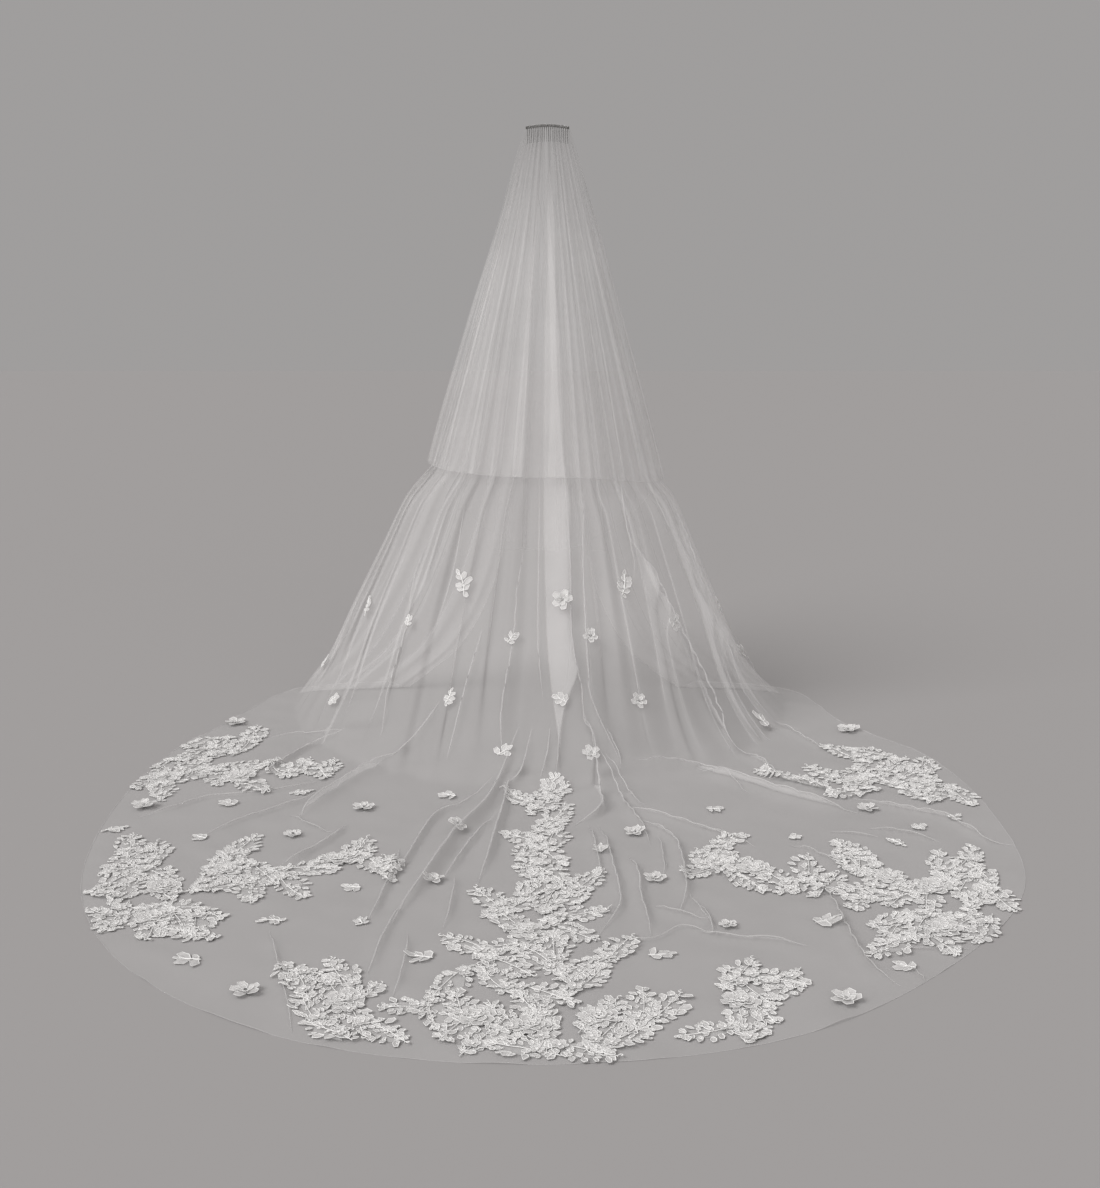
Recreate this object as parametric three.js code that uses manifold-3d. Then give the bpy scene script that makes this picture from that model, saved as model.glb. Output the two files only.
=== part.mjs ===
// Two tier bridal veil with a cathedral train
//
// A square of tulle is gathered on a hair comb, falls to the ground as an open
// cone and runs out over the floor as a round train. A shorter upper tier on
// the same comb lies over it, and its two free edges cross behind. Lace sprays
// are sewn on the train, and small lace sprigs are scattered over the sheet.
//
// Millimetres. The origin is the middle of the comb's bar, +Z is up, the train
// runs out along -Y and the wearer's side is +Y.

import * as THREE from 'three';
import Module from 'manifold-3d';

const wasm = await Module();
wasm.setup();

// Driving dimensions
const FLOOR_DROP = 1417;
const TULLE_WALL = 1.2;
const LACE_WALL = 1.5;
const ROSE_WALL = 4;
const GAP = 0.3;

const COMB = {
  length: 104, height: 6, thickness: 3.2, rise: 6,
  teeth: 20, toothLength: 36, toothWidth: 1.8, tipWidth: 0.9, spread: 96,
};

// rows are shares of the way down to the floor, closest where the tier flares;
// edges are the columns between the last fold and a free edge
const LONG_TIER = {
  top: 3.3, rows: [0, 0.2, 0.35, 0.49, 0.52, 0.58, 0.66, 0.74, 0.82, 0.91], floorRows: 5,
  edges: [0.73, 0.82, 0.91, 1], dropPower: 1.25, foldRamp: 0.35,
};
// turn is in degrees, from the middle of the tier to a free edge
const UPPER_TIER = {
  top: 3.3, rows: 7, edges: [0.75, 0.82, 0.91, 1], turn: 205, overlapStep: 10,
  hemLeft: 802, hemRight: 846, hemBack: 1055, sideFrom: 5, sideTo: 90, backFrom: 92, backTo: 180,
};

// Outline of the long tier at each drop below the comb. left and right are half
// widths along X, front is its reach towards the train, back its reach behind,
// and wrap says how many degrees it turns past each side to its free edge.
const LONG_SECTIONS = [
  { drop: 3, left: 51.5, right: 51.5, front: 7, back: 7, wrap: 76 },
  { drop: 60, left: 66, right: 66, front: 20, back: 12, wrap: 76 },
  { drop: 217, left: 106, right: 106, front: 62, back: 20, wrap: 76 },
  { drop: 457, left: 178, right: 170, front: 134, back: 34, wrap: 76 },
  { drop: 806, left: 287, right: 267, front: 242, back: 46, wrap: 76 },
  { drop: 850, left: 324, right: 282, front: 262, back: 48, wrap: 76 },
  { drop: 890, left: 356, right: 318, front: 282, back: 52, wrap: 76 },
  { drop: 1009, left: 416, right: 370, front: 338, back: 58, wrap: 75 },
  { drop: 1166, left: 496, right: 437, front: 430, back: 66, wrap: 72 },
  { drop: 1299, left: 562, right: 497, front: 535, back: 70, wrap: 66 },
  { drop: 1366, left: 611, right: 550, front: 610, back: 72, wrap: 60 },
  { drop: 1417, left: 650, right: 610, front: 700, back: 74, wrap: 55 },
];

// Outline of the upper tier, in the same columns
const UPPER_SECTIONS = [
  { drop: 3, left: 54.4, right: 54.4, front: 10, back: 10, wrap: 84 },
  { drop: 60, left: 72, right: 72, front: 26, back: 18, wrap: 84 },
  { drop: 217, left: 115, right: 115, front: 71, back: 30, wrap: 102 },
  { drop: 457, left: 190, right: 182, front: 146, back: 48, wrap: 113 },
  { drop: 804, left: 294, right: 276, front: 256, back: 78, wrap: 115 },
  { drop: 1060, left: 350, right: 336, front: 300, back: 96, wrap: 115 },
];

// Rim of the train on the floor. around is the same share as in the folds: -1
// at the left free edge, 0 in the middle of the train and 1 at the right edge.
const RIM = [
  { around: -1, x: -420, y: 120 },
  { around: -0.82, x: -590, y: 85 },
  { around: -0.68, x: -700, y: 0 },
  { around: -0.58, x: -800, y: -260 },
  { around: -0.5, x: -880, y: -470 },
  { around: -0.4, x: -917, y: -850 },
  { around: -0.3, x: -865, y: -1240 },
  { around: -0.2, x: -690, y: -1555 },
  { around: -0.1, x: -385, y: -1780 },
  { around: 0, x: 0, y: -1850 },
  { around: 0.1, x: 390, y: -1765 },
  { around: 0.2, x: 705, y: -1505 },
  { around: 0.3, x: 900, y: -1200 },
  { around: 0.4, x: 935, y: -830 },
  { around: 0.5, x: 880, y: -480 },
  { around: 0.58, x: 735, y: -250 },
  { around: 0.68, x: 660, y: 0 },
  { around: 0.82, x: 555, y: 85 },
  { around: 1, x: 400, y: 120 },
];

// Main folds. around places the fold's crest at the comb and drift at the rim;
// width is half its width, a share of half the sheet too. from and to are 0 at
// the comb, 1 where the sheet meets the floor and 2 at the rim.
const FOLDS = [
  { around: -0.60, drift: -0.60, width: 0.05, height: 18, from: 0.55, to: 1.35 },
  { around: -0.44, drift: -0.45, width: 0.05, height: 20, from: 0.52, to: 1.45 },
  { around: -0.28, drift: -0.28, width: 0.05, height: 28, from: 0.52, to: 1.5 },
  { around: -0.12, drift: -0.11, width: 0.045, height: 26, from: 0.52, to: 1.6 },
  { around: 0.02, drift: 0.04, width: 0.045, height: 30, from: 0.52, to: 1.2 },
  { around: 0.14, drift: 0.13, width: 0.04, height: 24, from: 0.52, to: 1.5 },
  { around: 0.25, drift: 0.25, width: 0.045, height: 22, from: 0.52, to: 1.45 },
  { around: 0.39, drift: 0.37, width: 0.05, height: 28, from: 0.52, to: 1.5 },
  { around: 0.57, drift: 0.57, width: 0.05, height: 20, from: 0.58, to: 1.4 },
];

// Folds of the upper tier, which deepen down to its hem
const UPPER_FOLDS = [
  { around: -0.62, width: 0.06, height: 16 },
  { around: -0.42, width: 0.06, height: 20 },
  { around: -0.22, width: 0.055, height: 20 },
  { around: 0.01, width: 0.055, height: 26 },
  { around: 0.22, width: 0.055, height: 20 },
  { around: 0.42, width: 0.06, height: 20 },
  { around: 0.62, width: 0.06, height: 16 },
];

// Lace sprays on the train, each made of leaf shaped twigs that grow out of one
// another. Columns of a twig: where it starts and ends in x and y, and its width.
// Columns of a rose: its x and y.
const SPRAYS = {
  lace_centre: {
    twigs: [
      [24, -1829, -100, -1783, 55], [-131, -1831, -65, -1717, 55], [-33, -1779, -99, -1665, 55],
      [-94, -1674, -163, -1787, 55], [-128, -1731, -147, -1630, 46], [1, -1820, -25, -1681, 55],
      [-16, -1787, 108, -1833, 55], [57, -1819, 123, -1705, 55], [72, -1819, 169, -1732, 55],
      [153, -1747, 219, -1633, 55], [19, -1739, -47, -1625, 55], [-45, -1647, -111, -1533, 55],
      [141, -1757, 157, -1621, 55], [-117, -1529, -183, -1643, 55], [-189, -1621, -167, -1751, 55],
      [-180, -1672, -262, -1676, 50], [-78, -1590, 45, -1668, 55], [22, -1654, 103, -1525, 55],
      [85, -1539, 151, -1425, 55], [118, -1482, 25, -1587, 55], [32, -1579, -55, -1449, 55],
      [16, -1555, 11, -1405, 55], [11, -1417, -109, -1480, 55], [-24, -1435, -91, -1317, 55],
      [-121, -1348, -19, -1264, 55], [-69, -1331, -135, -1217, 55], [-79, -1504, -181, -1420, 55],
      [-63, -1287, 3, -1173, 55], [-16, -1206, -45, -1073, 55], [-51, -1094, -33, -998, 46],
      [-35, -1005, 35, -1115, 55], [-35, -1077, 31, -1191, 55], [3, -1051, 25, -921, 55],
      [13, -1024, -89, -940, 55], [-38, -982, 35, -869, 55], [-125, -1488, -23, -1572, 55],
      [26, -1182, -9, -1327, 55], [-7, -1315, 79, -1221, 55], [37, -1255, 103, -1141, 55],
      [-2, -925, 43, -789, 55], [76, -1786, 59, -1746, 9], [49, -1763, 115, -1649, 55],
      [-7, -1315, -1, -1368, 9], [-17, -1356, 85, -1440, 55], [-12, -1357, 112, -1311, 55],
      [30, -828, -31, -802, 9], [-21, -819, -87, -705, 55], [-43, -851, 23, -737, 55],
      [-53, -772, 49, -688, 55], [-2, -730, 24, -662, 42],
    ],
    roses: [[-38, -1400], [-111, -1707], [83, -1709], [-24, -1738]],
  },
  lace_front_left: {
    twigs: [
      [-296, -1789, -372, -1727, 46], [-342, -1751, -399, -1621, 55],
      [-382, -1659, -427, -1537, 55], [-440, -1520, -428, -1588, 36],
      [-423, -1547, -355, -1584, 36], [-375, -1569, -309, -1683, 55],
      [-312, -1660, -276, -1600, 36], [-298, -1636, -367, -1517, 55],
      [-328, -1650, -281, -1775, 55], [-317, -1704, -215, -1788, 55],
    ],
    roses: [[-325, -1654]],
  },
  lace_front_right: {
    twigs: [
      [304, -1792, 340, -1732, 36], [307, -1787, 317, -1653, 55], [293, -1613, 359, -1727, 55],
      [285, -1627, 351, -1513, 55], [301, -1565, 367, -1679, 55], [304, -1555, 428, -1601, 55],
      [427, -1541, 361, -1655, 55], [311, -1734, 204, -1771, 46],
    ],
    roses: [[313, -1659]],
  },
  lace_left_lower: {
    twigs: [
      [-797, -1299, -775, -1169, 55], [-791, -1262, -852, -1238, 30],
      [-846, -1240, -781, -1129, 55], [-801, -1108, -699, -1192, 55],
      [-747, -1076, -849, -1160, 55], [-759, -1123, -781, -993, 55],
      [-777, -1017, -847, -1127, 55], [-819, -1084, -845, -957, 55],
      [-755, -1157, -689, -1271, 55], [-701, -1250, -653, -1226, 9],
      [-672, -1233, -548, -1187, 55], [-565, -1153, -543, -1283, 55],
      [-662, -1229, -601, -1105, 55], [-587, -1069, -609, -1199, 55],
      [-588, -1079, -509, -1199, 55], [-549, -1139, -396, -1126, 55],
      [-472, -1133, -371, -1044, 55], [-385, -1107, -363, -977, 55],
      [-374, -1042, -305, -1155, 55], [-295, -1199, -317, -1069, 55],
      [-520, -1137, -449, -1259, 55], [-632, -1167, -653, -1138, 9],
      [-663, -1155, -597, -1041, 55], [-630, -1098, -589, -965, 55],
    ],
    roses: [[-718, -1213], [-619, -1136], [-409, -1083]],
  },
  lace_left_corner: {
    twigs: [
      [-779, -1340, -828, -1312, 32], [-767, -1273, -789, -1403, 55],
      [-783, -1411, -717, -1297, 55], [-756, -1306, -624, -1306, 55],
      [-718, -1306, -695, -1435, 55], [-635, -1306, -583, -1352, 36],
      [-633, -1301, -611, -1431, 55], [-572, -1431, -664, -1397, 46],
      [-699, -1293, -633, -1407, 55], [-673, -1338, -672, -1420, 36],
    ],
    roses: [[-704, -1344]],
  },
  lace_left_upper: {
    twigs: [
      [-827, -771, -849, -641, 55], [-843, -679, -773, -561, 55], [-779, -570, -628, -531, 55],
      [-749, -545, -727, -675, 55], [-728, -665, -657, -549, 55], [-708, -631, -603, -716, 55],
      [-643, -509, -577, -623, 55], [-573, -631, -551, -501, 55], [-555, -517, -489, -631, 55],
      [-494, -622, -491, -510, 46], [-815, -632, -833, -598, 9], [-843, -615, -777, -501, 55],
      [-795, -515, -729, -401, 55], [-837, -581, -903, -695, 55], [-781, -471, -759, -341, 55],
      [-755, -340, -857, -424, 55], [-770, -406, -851, -511, 55], [-851, -477, -873, -607, 55],
      [-762, -458, -726, -463, 9], [-729, -483, -707, -353, 55], [-691, -399, -713, -269, 55],
    ],
    roses: [[-862, -624], [-682, -614]],
  },
  lace_right_band: {
    twigs: [
      [493, -1263, 559, -1149, 55], [533, -1194, 496, -1184, 9], [508, -1175, 432, -1237, 46],
      [471, -1231, 405, -1117, 55], [487, -1199, 509, -1069, 55], [431, -1162, 349, -1065, 55],
      [373, -1052, 319, -1096, 36], [364, -1083, 259, -1168, 55], [334, -1108, 403, -1231, 55],
      [312, -1126, 359, -997, 55], [320, -1021, 396, -959, 46], [301, -1135, 296, -1040, 36],
    ],
    roses: [[397, -1126]],
  },
  lace_right_lower: {
    twigs: [
      [761, -1323, 790, -1262, 30], [761, -1323, 827, -1209, 55], [823, -1189, 845, -1319, 55],
      [843, -1218, 825, -1122, 46], [829, -1140, 757, -1259, 55], [770, -1237, 745, -1134, 46],
      [755, -1175, 777, -1045, 55], [773, -1164, 671, -1248, 55], [680, -1242, 613, -1129, 55],
      [637, -1085, 615, -1215, 55], [643, -1103, 577, -989, 55], [617, -1025, 595, -1155, 55],
      [691, -1185, 625, -1299, 55], [668, -1250, 536, -1250, 55], [636, -1203, 560, -1230, 45],
      [588, -1164, 576, -1096, 36], [568, -1100, 580, -1032, 36], [773, -1175, 839, -1061, 55],
      [825, -1118, 843, -1022, 46], [602, -1250, 551, -1308, 36], [722, -1206, 690, -1312, 46],
    ],
    roses: [[726, -1214], [653, -1168]],
  },
  lace_right_corner: {
    twigs: [
      [572, -1393, 648, -1331, 46], [642, -1336, 747, -1338, 46], [707, -1313, 641, -1427, 55],
      [653, -1416, 551, -1500, 55], [675, -1365, 697, -1495, 55], [675, -1416, 777, -1332, 55],
      [650, -1336, 589, -1455, 55], [768, -1338, 793, -1350, 9], [803, -1333, 737, -1447, 55],
    ],
    roses: [[703, -1391]],
  },
  lace_right_upper: {
    twigs: [
      [809, -791, 875, -677, 55], [814, -782, 783, -661, 55], [794, -726, 863, -613, 55],
      [783, -703, 717, -589, 55], [722, -598, 657, -711, 55], [764, -670, 835, -553, 55],
      [728, -691, 604, -737, 55], [627, -728, 557, -617, 55], [843, -631, 865, -501, 55],
      [883, -665, 905, -795, 55], [585, -661, 471, -584, 55], [736, -622, 819, -501, 55],
      [812, -511, 699, -424, 55], [771, -473, 705, -587, 55], [711, -545, 645, -659, 55],
      [655, -663, 589, -549, 55], [738, -530, 649, -405, 55],
    ],
    roses: [[687, -651], [828, -667]],
  },
};

// Small lace motifs on the falling part of the sheet, placed by x and drop
const HANGING_SPRIGS = [
  { x: -200, drop: 1040, kind: 'twig', size: 62, turn: 20 },
  { x: 180, drop: 1045, kind: 'twig', size: 58, turn: -25 },
  { x: 32, drop: 1075, kind: 'flower', size: 46, turn: 10 },
  { x: -440, drop: 1135, kind: 'twig', size: 42, turn: 15 },
  { x: -82, drop: 1150, kind: 'leaf', size: 36, turn: -30 },
  { x: 96, drop: 1150, kind: 'flower', size: 32, turn: 0 },
  { x: 302, drop: 1145, kind: 'leaf', size: 42, turn: -60 },
  { x: 430, drop: 1160, kind: 'twig', size: 38, turn: -20 },
  { x: -565, drop: 1310, kind: 'leaf', size: 40, turn: 0 },
  { x: -225, drop: 1275, kind: 'twig', size: 40, turn: -15 },
  { x: 30, drop: 1270, kind: 'leaf', size: 36, turn: 60 },
  { x: 208, drop: 1285, kind: 'flower', size: 36, turn: 20 },
  { x: -515, drop: 1340, kind: 'leaf', size: 42, turn: -40 },
  { x: 530, drop: 1300, kind: 'leaf', size: 42, turn: 20 },
  { x: -95, drop: 1365, kind: 'leaf', size: 40, turn: -50 },
  { x: 96, drop: 1370, kind: 'flower', size: 38, turn: 40 },
];

// Small lace motifs on the floor, placed by x and y
const FLOOR_SPRIGS = [
  { x: -765, y: -240, kind: 'flower', size: 48, turn: 30 },
  { x: 728, y: -295, kind: 'flower', size: 52, turn: 0 },
  { x: 517, y: -290, kind: 'leaf', size: 44, turn: 50 },
  { x: -215, y: -740, kind: 'leaf', size: 44, turn: 70 },
  { x: -530, y: -715, kind: 'twig', size: 44, turn: -80 },
  { x: -680, y: -785, kind: 'leaf', size: 40, turn: 65 },
  { x: -855, y: -800, kind: 'flower', size: 50, turn: 10 },
  { x: -880, y: -925, kind: 'twig', size: 46, turn: -70 },
  { x: -700, y: -970, kind: 'leaf', size: 34, turn: 60 },
  { x: -515, y: -958, kind: 'flower', size: 34, turn: 0 },
  { x: -388, y: -810, kind: 'flower', size: 44, turn: 50 },
  { x: -365, y: -1215, kind: 'leaf', size: 38, turn: 80 },
  { x: -495, y: -1360, kind: 'twig', size: 46, turn: 85 },
  { x: -332, y: -1360, kind: 'leaf', size: 32, turn: 20 },
  { x: -610, y: -1512, kind: 'leaf', size: 54, turn: 85 },
  { x: -490, y: -1625, kind: 'flower', size: 46, turn: 15 },
  { x: -215, y: -1500, kind: 'leaf', size: 50, turn: 75 },
  { x: 356, y: -820, kind: 'leaf', size: 38, turn: -80 },
  { x: 676, y: -815, kind: 'flower', size: 42, turn: 0 },
  { x: 760, y: -920, kind: 'leaf', size: 38, turn: -60 },
  { x: 850, y: -860, kind: 'twig', size: 44, turn: -50 },
  { x: 698, y: -995, kind: 'twig', size: 40, turn: 30 },
  { x: 500, y: -1360, kind: 'leaf', size: 56, turn: -60 },
  { x: 603, y: -1535, kind: 'leaf', size: 44, turn: 50 },
  { x: 482, y: -1655, kind: 'flower', size: 48, turn: 30 },
  { x: -183, y: -942, kind: 'flower', size: 36, turn: 0 },
  { x: -214, y: -1185, kind: 'flower', size: 38, turn: 25 },
  { x: 178, y: -948, kind: 'flower', size: 40, turn: 40 },
  { x: 105, y: -1036, kind: 'leaf', size: 38, turn: 0 },
  { x: 205, y: -1176, kind: 'flower', size: 40, turn: 10 },
  { x: 196, y: -1493, kind: 'leaf', size: 50, turn: -80 },
];

const material = (color, roughness, metalness = 0) =>
  new THREE.MeshStandardMaterial({ color, roughness, metalness, side: THREE.DoubleSide });
const tulleCloth = material(0xe9e6e2, 0.9);
const laceCloth = material(0xf4f1ec, 0.8);
const combMetal = material(0xc9c5be, 0.3, 0.9);

// Helpers

const radians = (degrees) => degrees * Math.PI / 180;
const clamp = (value, low, high) => Math.min(high, Math.max(low, value));
const mix = (a, b, share) => a + (b - a) * share;
const smooth = (share) => {
  const t = clamp(share, 0, 1);
  return t * t * (3 - 2 * t);
};

// Reads one column of a table at any value of its key, along a smooth curve
function readTable(table, key, value, column) {
  let row = 0;
  while (row < table.length - 2 && value > table[row + 1][key]) row += 1;
  const slope = (index) => {
    const before = table[Math.max(index - 1, 0)];
    const after = table[Math.min(index + 1, table.length - 1)];
    return (after[column] - before[column]) / (after[key] - before[key]);
  };
  const low = table[row];
  const high = table[row + 1];
  const span = high[key] - low[key];
  const t = clamp((value - low[key]) / span, 0, 1);
  const start = (1 + 2 * t) * (1 - t) ** 2 * low[column] + t * (1 - t) ** 2 * span * slope(row);
  const end = t * t * (3 - 2 * t) * high[column] + t * t * (t - 1) * span * slope(row + 1);
  return start + end;
}
const sectionAt = (table, drop, column) => readTable(table, 'drop', drop, column);

// A point of a tier's outline at one drop: around is -1 at the left free edge,
// 0 in the middle of the train side and 1 at the right free edge
function outlinePoint(table, around, drop, overlapStep = 0) {
  const angle = radians(around * (90 + sectionAt(table, drop, 'wrap')));
  const width = sectionAt(table, drop, around < 0 ? 'left' : 'right');
  const facing = Math.cos(angle);
  const behind = smooth((Math.abs(angle) - Math.PI / 2) / radians(60));
  const step = around > 0 ? overlapStep * behind * smooth(drop / 200) : 0;
  const depth = facing > 0 ? sectionAt(table, drop, 'front') : sectionAt(table, drop, 'back') + step;
  return new THREE.Vector3(width * Math.sin(angle), -depth * facing, -drop);
}

// The smooth sheet of the long tier before its folds. down is 0 at the comb,
// 1 where the sheet meets the floor and 2 at the rim of the train.
function longTierBase(around, down) {
  const floorLevel = -FLOOR_DROP + TULLE_WALL / 2;
  const drop = mix(LONG_TIER.top, FLOOR_DROP, 1 - Math.max(1 - down, 0) ** LONG_TIER.dropPower);
  const point = outlinePoint(LONG_SECTIONS, around, drop);
  if (down > 1) {
    point.x = mix(point.x, readTable(RIM, 'around', around, 'x'), down - 1);
    point.y = mix(point.y, readTable(RIM, 'around', around, 'y'), down - 1);
  }
  point.z = Math.max(point.z, floorLevel);
  return point;
}

const DRIFT_FROM = 0.6;
const crestAt = (fold, down) => mix(fold.around, fold.drift, smooth(down - DRIFT_FROM));

// Height of a main fold's crest above the sheet
const crestHeight = (fold, down) =>
  fold.height * smooth((down - fold.from) / LONG_TIER.foldRamp)
  * smooth((fold.to - down) / LONG_TIER.foldRamp);

// Columns of a tier at one row: each fold has a foot, a crest and a foot, with
// one more column between two folds. rise is the height of that column.
function foldedColumns(folds, edges, crestOf, riseOf) {
  const columns = edges.toReversed().map((share) => ({ around: -share, rise: 0 }));
  folds.forEach((fold, index) => {
    const crest = crestOf(fold);
    const foot = crest - fold.width;
    if (index > 0) columns.push({ around: (columns.at(-1).around + foot) / 2, rise: 0 });
    columns.push({ around: foot, rise: 0 });
    columns.push({ around: crest, rise: riseOf(fold) });
    columns.push({ around: crest + fold.width, rise: 0 });
  });
  return [...columns, ...edges.map((share) => ({ around: share, rise: 0 }))];
}

// Points of a tier, its folds raised from the smooth sheet along its normals
function foldedGrid(rows, columnsOf, pointOf) {
  const columns = rows.map(columnsOf);
  const base = rows.map((down, i) => columns[i].map((column) => pointOf(column.around, down)));
  const normals = gridNormals(base);
  return base.map((row, i) => row.map((point, j) =>
    point.clone().addScaledVector(normals[i][j], columns[i][j].rise)));
}

const evenly = (count) => Array.from({ length: count + 1 }, (_, index) => -1 + 2 * index / count);

const longRows = [
  ...LONG_TIER.rows,
  ...Array.from({ length: LONG_TIER.floorRows + 1 }, (_, row) => 1 + row / LONG_TIER.floorRows),
];
const longColumns = (down) => foldedColumns(FOLDS, LONG_TIER.edges,
  (fold) => crestAt(fold, down), (fold) => crestHeight(fold, down));
const longGrid = foldedGrid(longRows, longColumns, longTierBase);

// The hem of the upper tier is lower on the right side and lowest behind
function upperTierPoint(around, down) {
  const { hemLeft, hemRight, hemBack, sideFrom, sideTo, backFrom, backTo } = UPPER_TIER;
  const angle = around * UPPER_TIER.turn;
  const beside = mix(hemLeft, hemRight, smooth((angle - sideFrom) / (sideTo - sideFrom)));
  const behind = smooth((Math.abs(angle) - backFrom) / (backTo - backFrom));
  const hem = mix(beside, hemBack, behind);
  const drop = mix(UPPER_TIER.top, hem, down);
  return outlinePoint(UPPER_SECTIONS, around, drop, UPPER_TIER.overlapStep);
}
const upperRows = Array.from({ length: UPPER_TIER.rows + 1 }, (_, row) => row / UPPER_TIER.rows);
const upperColumns = (down) => foldedColumns(UPPER_FOLDS, UPPER_TIER.edges,
  (fold) => fold.around, (fold) => fold.height * down);
const upperGrid = foldedGrid(upperRows, upperColumns, upperTierPoint);

// Unit normals of a grid of points, facing away from the wearer
function gridNormals(grid) {
  return grid.map((row, i) => row.map((_, j) => {
    const right = row[Math.min(j + 1, row.length - 1)].clone().sub(row[Math.max(j - 1, 0)]);
    const below = grid[Math.min(i + 1, grid.length - 1)][j].clone();
    below.sub(grid[Math.max(i - 1, 0)][j]);
    return below.cross(right).normalize();
  }));
}

// Closes the layer between two distances from a grid of points
function layer(grid, inner, outer) {
  const normals = gridNormals(grid);
  const rows = grid.length;
  const columns = grid[0].length;
  const positions = [];
  for (const distance of [inner, outer]) {
    grid.forEach((row, i) => row.forEach((point, j) => {
      const moved = point.clone().addScaledVector(normals[i][j], distance);
      positions.push(moved.x, moved.y, moved.z);
    }));
  }
  const faces = [];
  const quad = (a, b, c, d) => faces.push(a, b, c, a, c, d);
  const low = (i, j) => i * columns + j;
  const high = (i, j) => rows * columns + i * columns + j;
  for (let i = 0; i < rows - 1; i += 1) {
    for (let j = 0; j < columns - 1; j += 1) {
      quad(low(i, j), low(i, j + 1), low(i + 1, j + 1), low(i + 1, j));
      quad(high(i, j), high(i + 1, j), high(i + 1, j + 1), high(i, j + 1));
    }
    quad(low(i, 0), low(i + 1, 0), high(i + 1, 0), high(i, 0));
    quad(low(i + 1, columns - 1), low(i, columns - 1), high(i, columns - 1), high(i + 1, columns - 1));
  }
  for (let j = 0; j < columns - 1; j += 1) {
    quad(low(0, j + 1), low(0, j), high(0, j), high(0, j + 1));
    quad(low(rows - 1, j), low(rows - 1, j + 1), high(rows - 1, j + 1), high(rows - 1, j));
  }
  const geometry = new THREE.BufferGeometry();
  geometry.setAttribute('position', new THREE.Float32BufferAttribute(positions, 3));
  geometry.setIndex(faces);
  return geometry;
}

// Turns a closed geometry with merged vertices into a solid, and back
function solidFrom(geometry) {
  const vertProperties = new Float32Array(geometry.attributes.position.array);
  const triVerts = new Uint32Array(geometry.index.array);
  return new wasm.Manifold(new wasm.Mesh({ numProp: 3, vertProperties, triVerts }));
}

function geometryFrom(solid) {
  const mesh = solid.getMesh();
  const geometry = new THREE.BufferGeometry();
  geometry.setAttribute('position', new THREE.Float32BufferAttribute(mesh.vertProperties, 3));
  geometry.setIndex(Array.from(mesh.triVerts));
  return geometry;
}

// A prism over a closed outline, standing on a place with its own directions
function prism(outline, low, high, place) {
  const count = outline.length;
  const positions = [];
  for (const height of [low, high]) {
    for (const [x, y] of outline) {
      const point = place.origin.clone();
      point.addScaledVector(place.right, x).addScaledVector(place.up, y);
      point.addScaledVector(place.out, height);
      positions.push(point.x, point.y, point.z);
    }
  }
  const points = outline.map(([x, y]) => new THREE.Vector2(x, y));
  const caps = THREE.ShapeUtils.triangulateShape(points, []);
  const faces = [];
  for (const [a, b, c] of caps) {
    faces.push(c, b, a, a + count, b + count, c + count);
  }
  for (let a = 0; a < count; a += 1) {
    const b = (a + 1) % count;
    faces.push(a, b, b + count, a, b + count, a + count);
  }
  const geometry = new THREE.BufferGeometry();
  geometry.setAttribute('position', new THREE.Float32BufferAttribute(positions, 3));
  geometry.setIndex(faces);
  return solidFrom(geometry);
}

// Lace outlines

// How far along a leaf is widest, and how far a flower dips between its petals
const LEAF_WIDEST = 0.55;
const PETAL_DIP = 0.7;

// A pointed leaf from its foot, heading along an angle
function leafOutline(x, y, heading, length, width) {
  const forward = [Math.cos(heading), Math.sin(heading)];
  const side = [-forward[1], forward[0]];
  const at = (along, across) => [
    x + forward[0] * along + side[0] * across,
    y + forward[1] * along + side[1] * across,
  ];
  const widest = length * LEAF_WIDEST;
  return [at(0, 0), at(widest, -width / 2), at(length, 0), at(widest, width / 2)];
}

function flowerOutline(x, y, radius, petals, turn) {
  const outline = [];
  for (let corner = 0; corner < petals * 2; corner += 1) {
    const angle = turn + corner * Math.PI / petals;
    const distance = corner % 2 ? radius * PETAL_DIP : radius;
    outline.push([x + distance * Math.cos(angle), y + distance * Math.sin(angle)]);
  }
  return outline;
}

const ROSE = { radius: 32, petals: 3, turn: 0.4 };

function twigOutline([startX, startY, endX, endY, width]) {
  const length = Math.hypot(endX - startX, endY - startY);
  const heading = Math.atan2(endY - startY, endX - startX);
  return leafOutline(startX, startY, heading, length, width);
}

function sprigOutlines({ kind, size }) {
  if (kind === 'flower') return [flowerOutline(0, 0, size / 2, 5, 0.3)];
  if (kind === 'leaf') return [leafOutline(0, -size / 2, Math.PI / 2, size, size * 0.6)];
  return [
    leafOutline(0, -size / 2, Math.PI / 2, size, size * 0.42),
    leafOutline(0, -size * 0.25, radians(25), size * 0.5, size * 0.34),
  ];
}

const joined = (solids) => solids.reduce((sum, solid) => sum.add(solid));

// Pieces

const veil = new THREE.Group();

function addMesh(name, geometry, cloth) {
  geometry.computeVertexNormals();
  const mesh = new THREE.Mesh(geometry, cloth);
  mesh.name = name;
  veil.add(mesh);
}

// Height of the comb's arched bar above its ends
const archAt = (x) => COMB.rise * (1 - (2 * x / COMB.length) ** 2);

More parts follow.
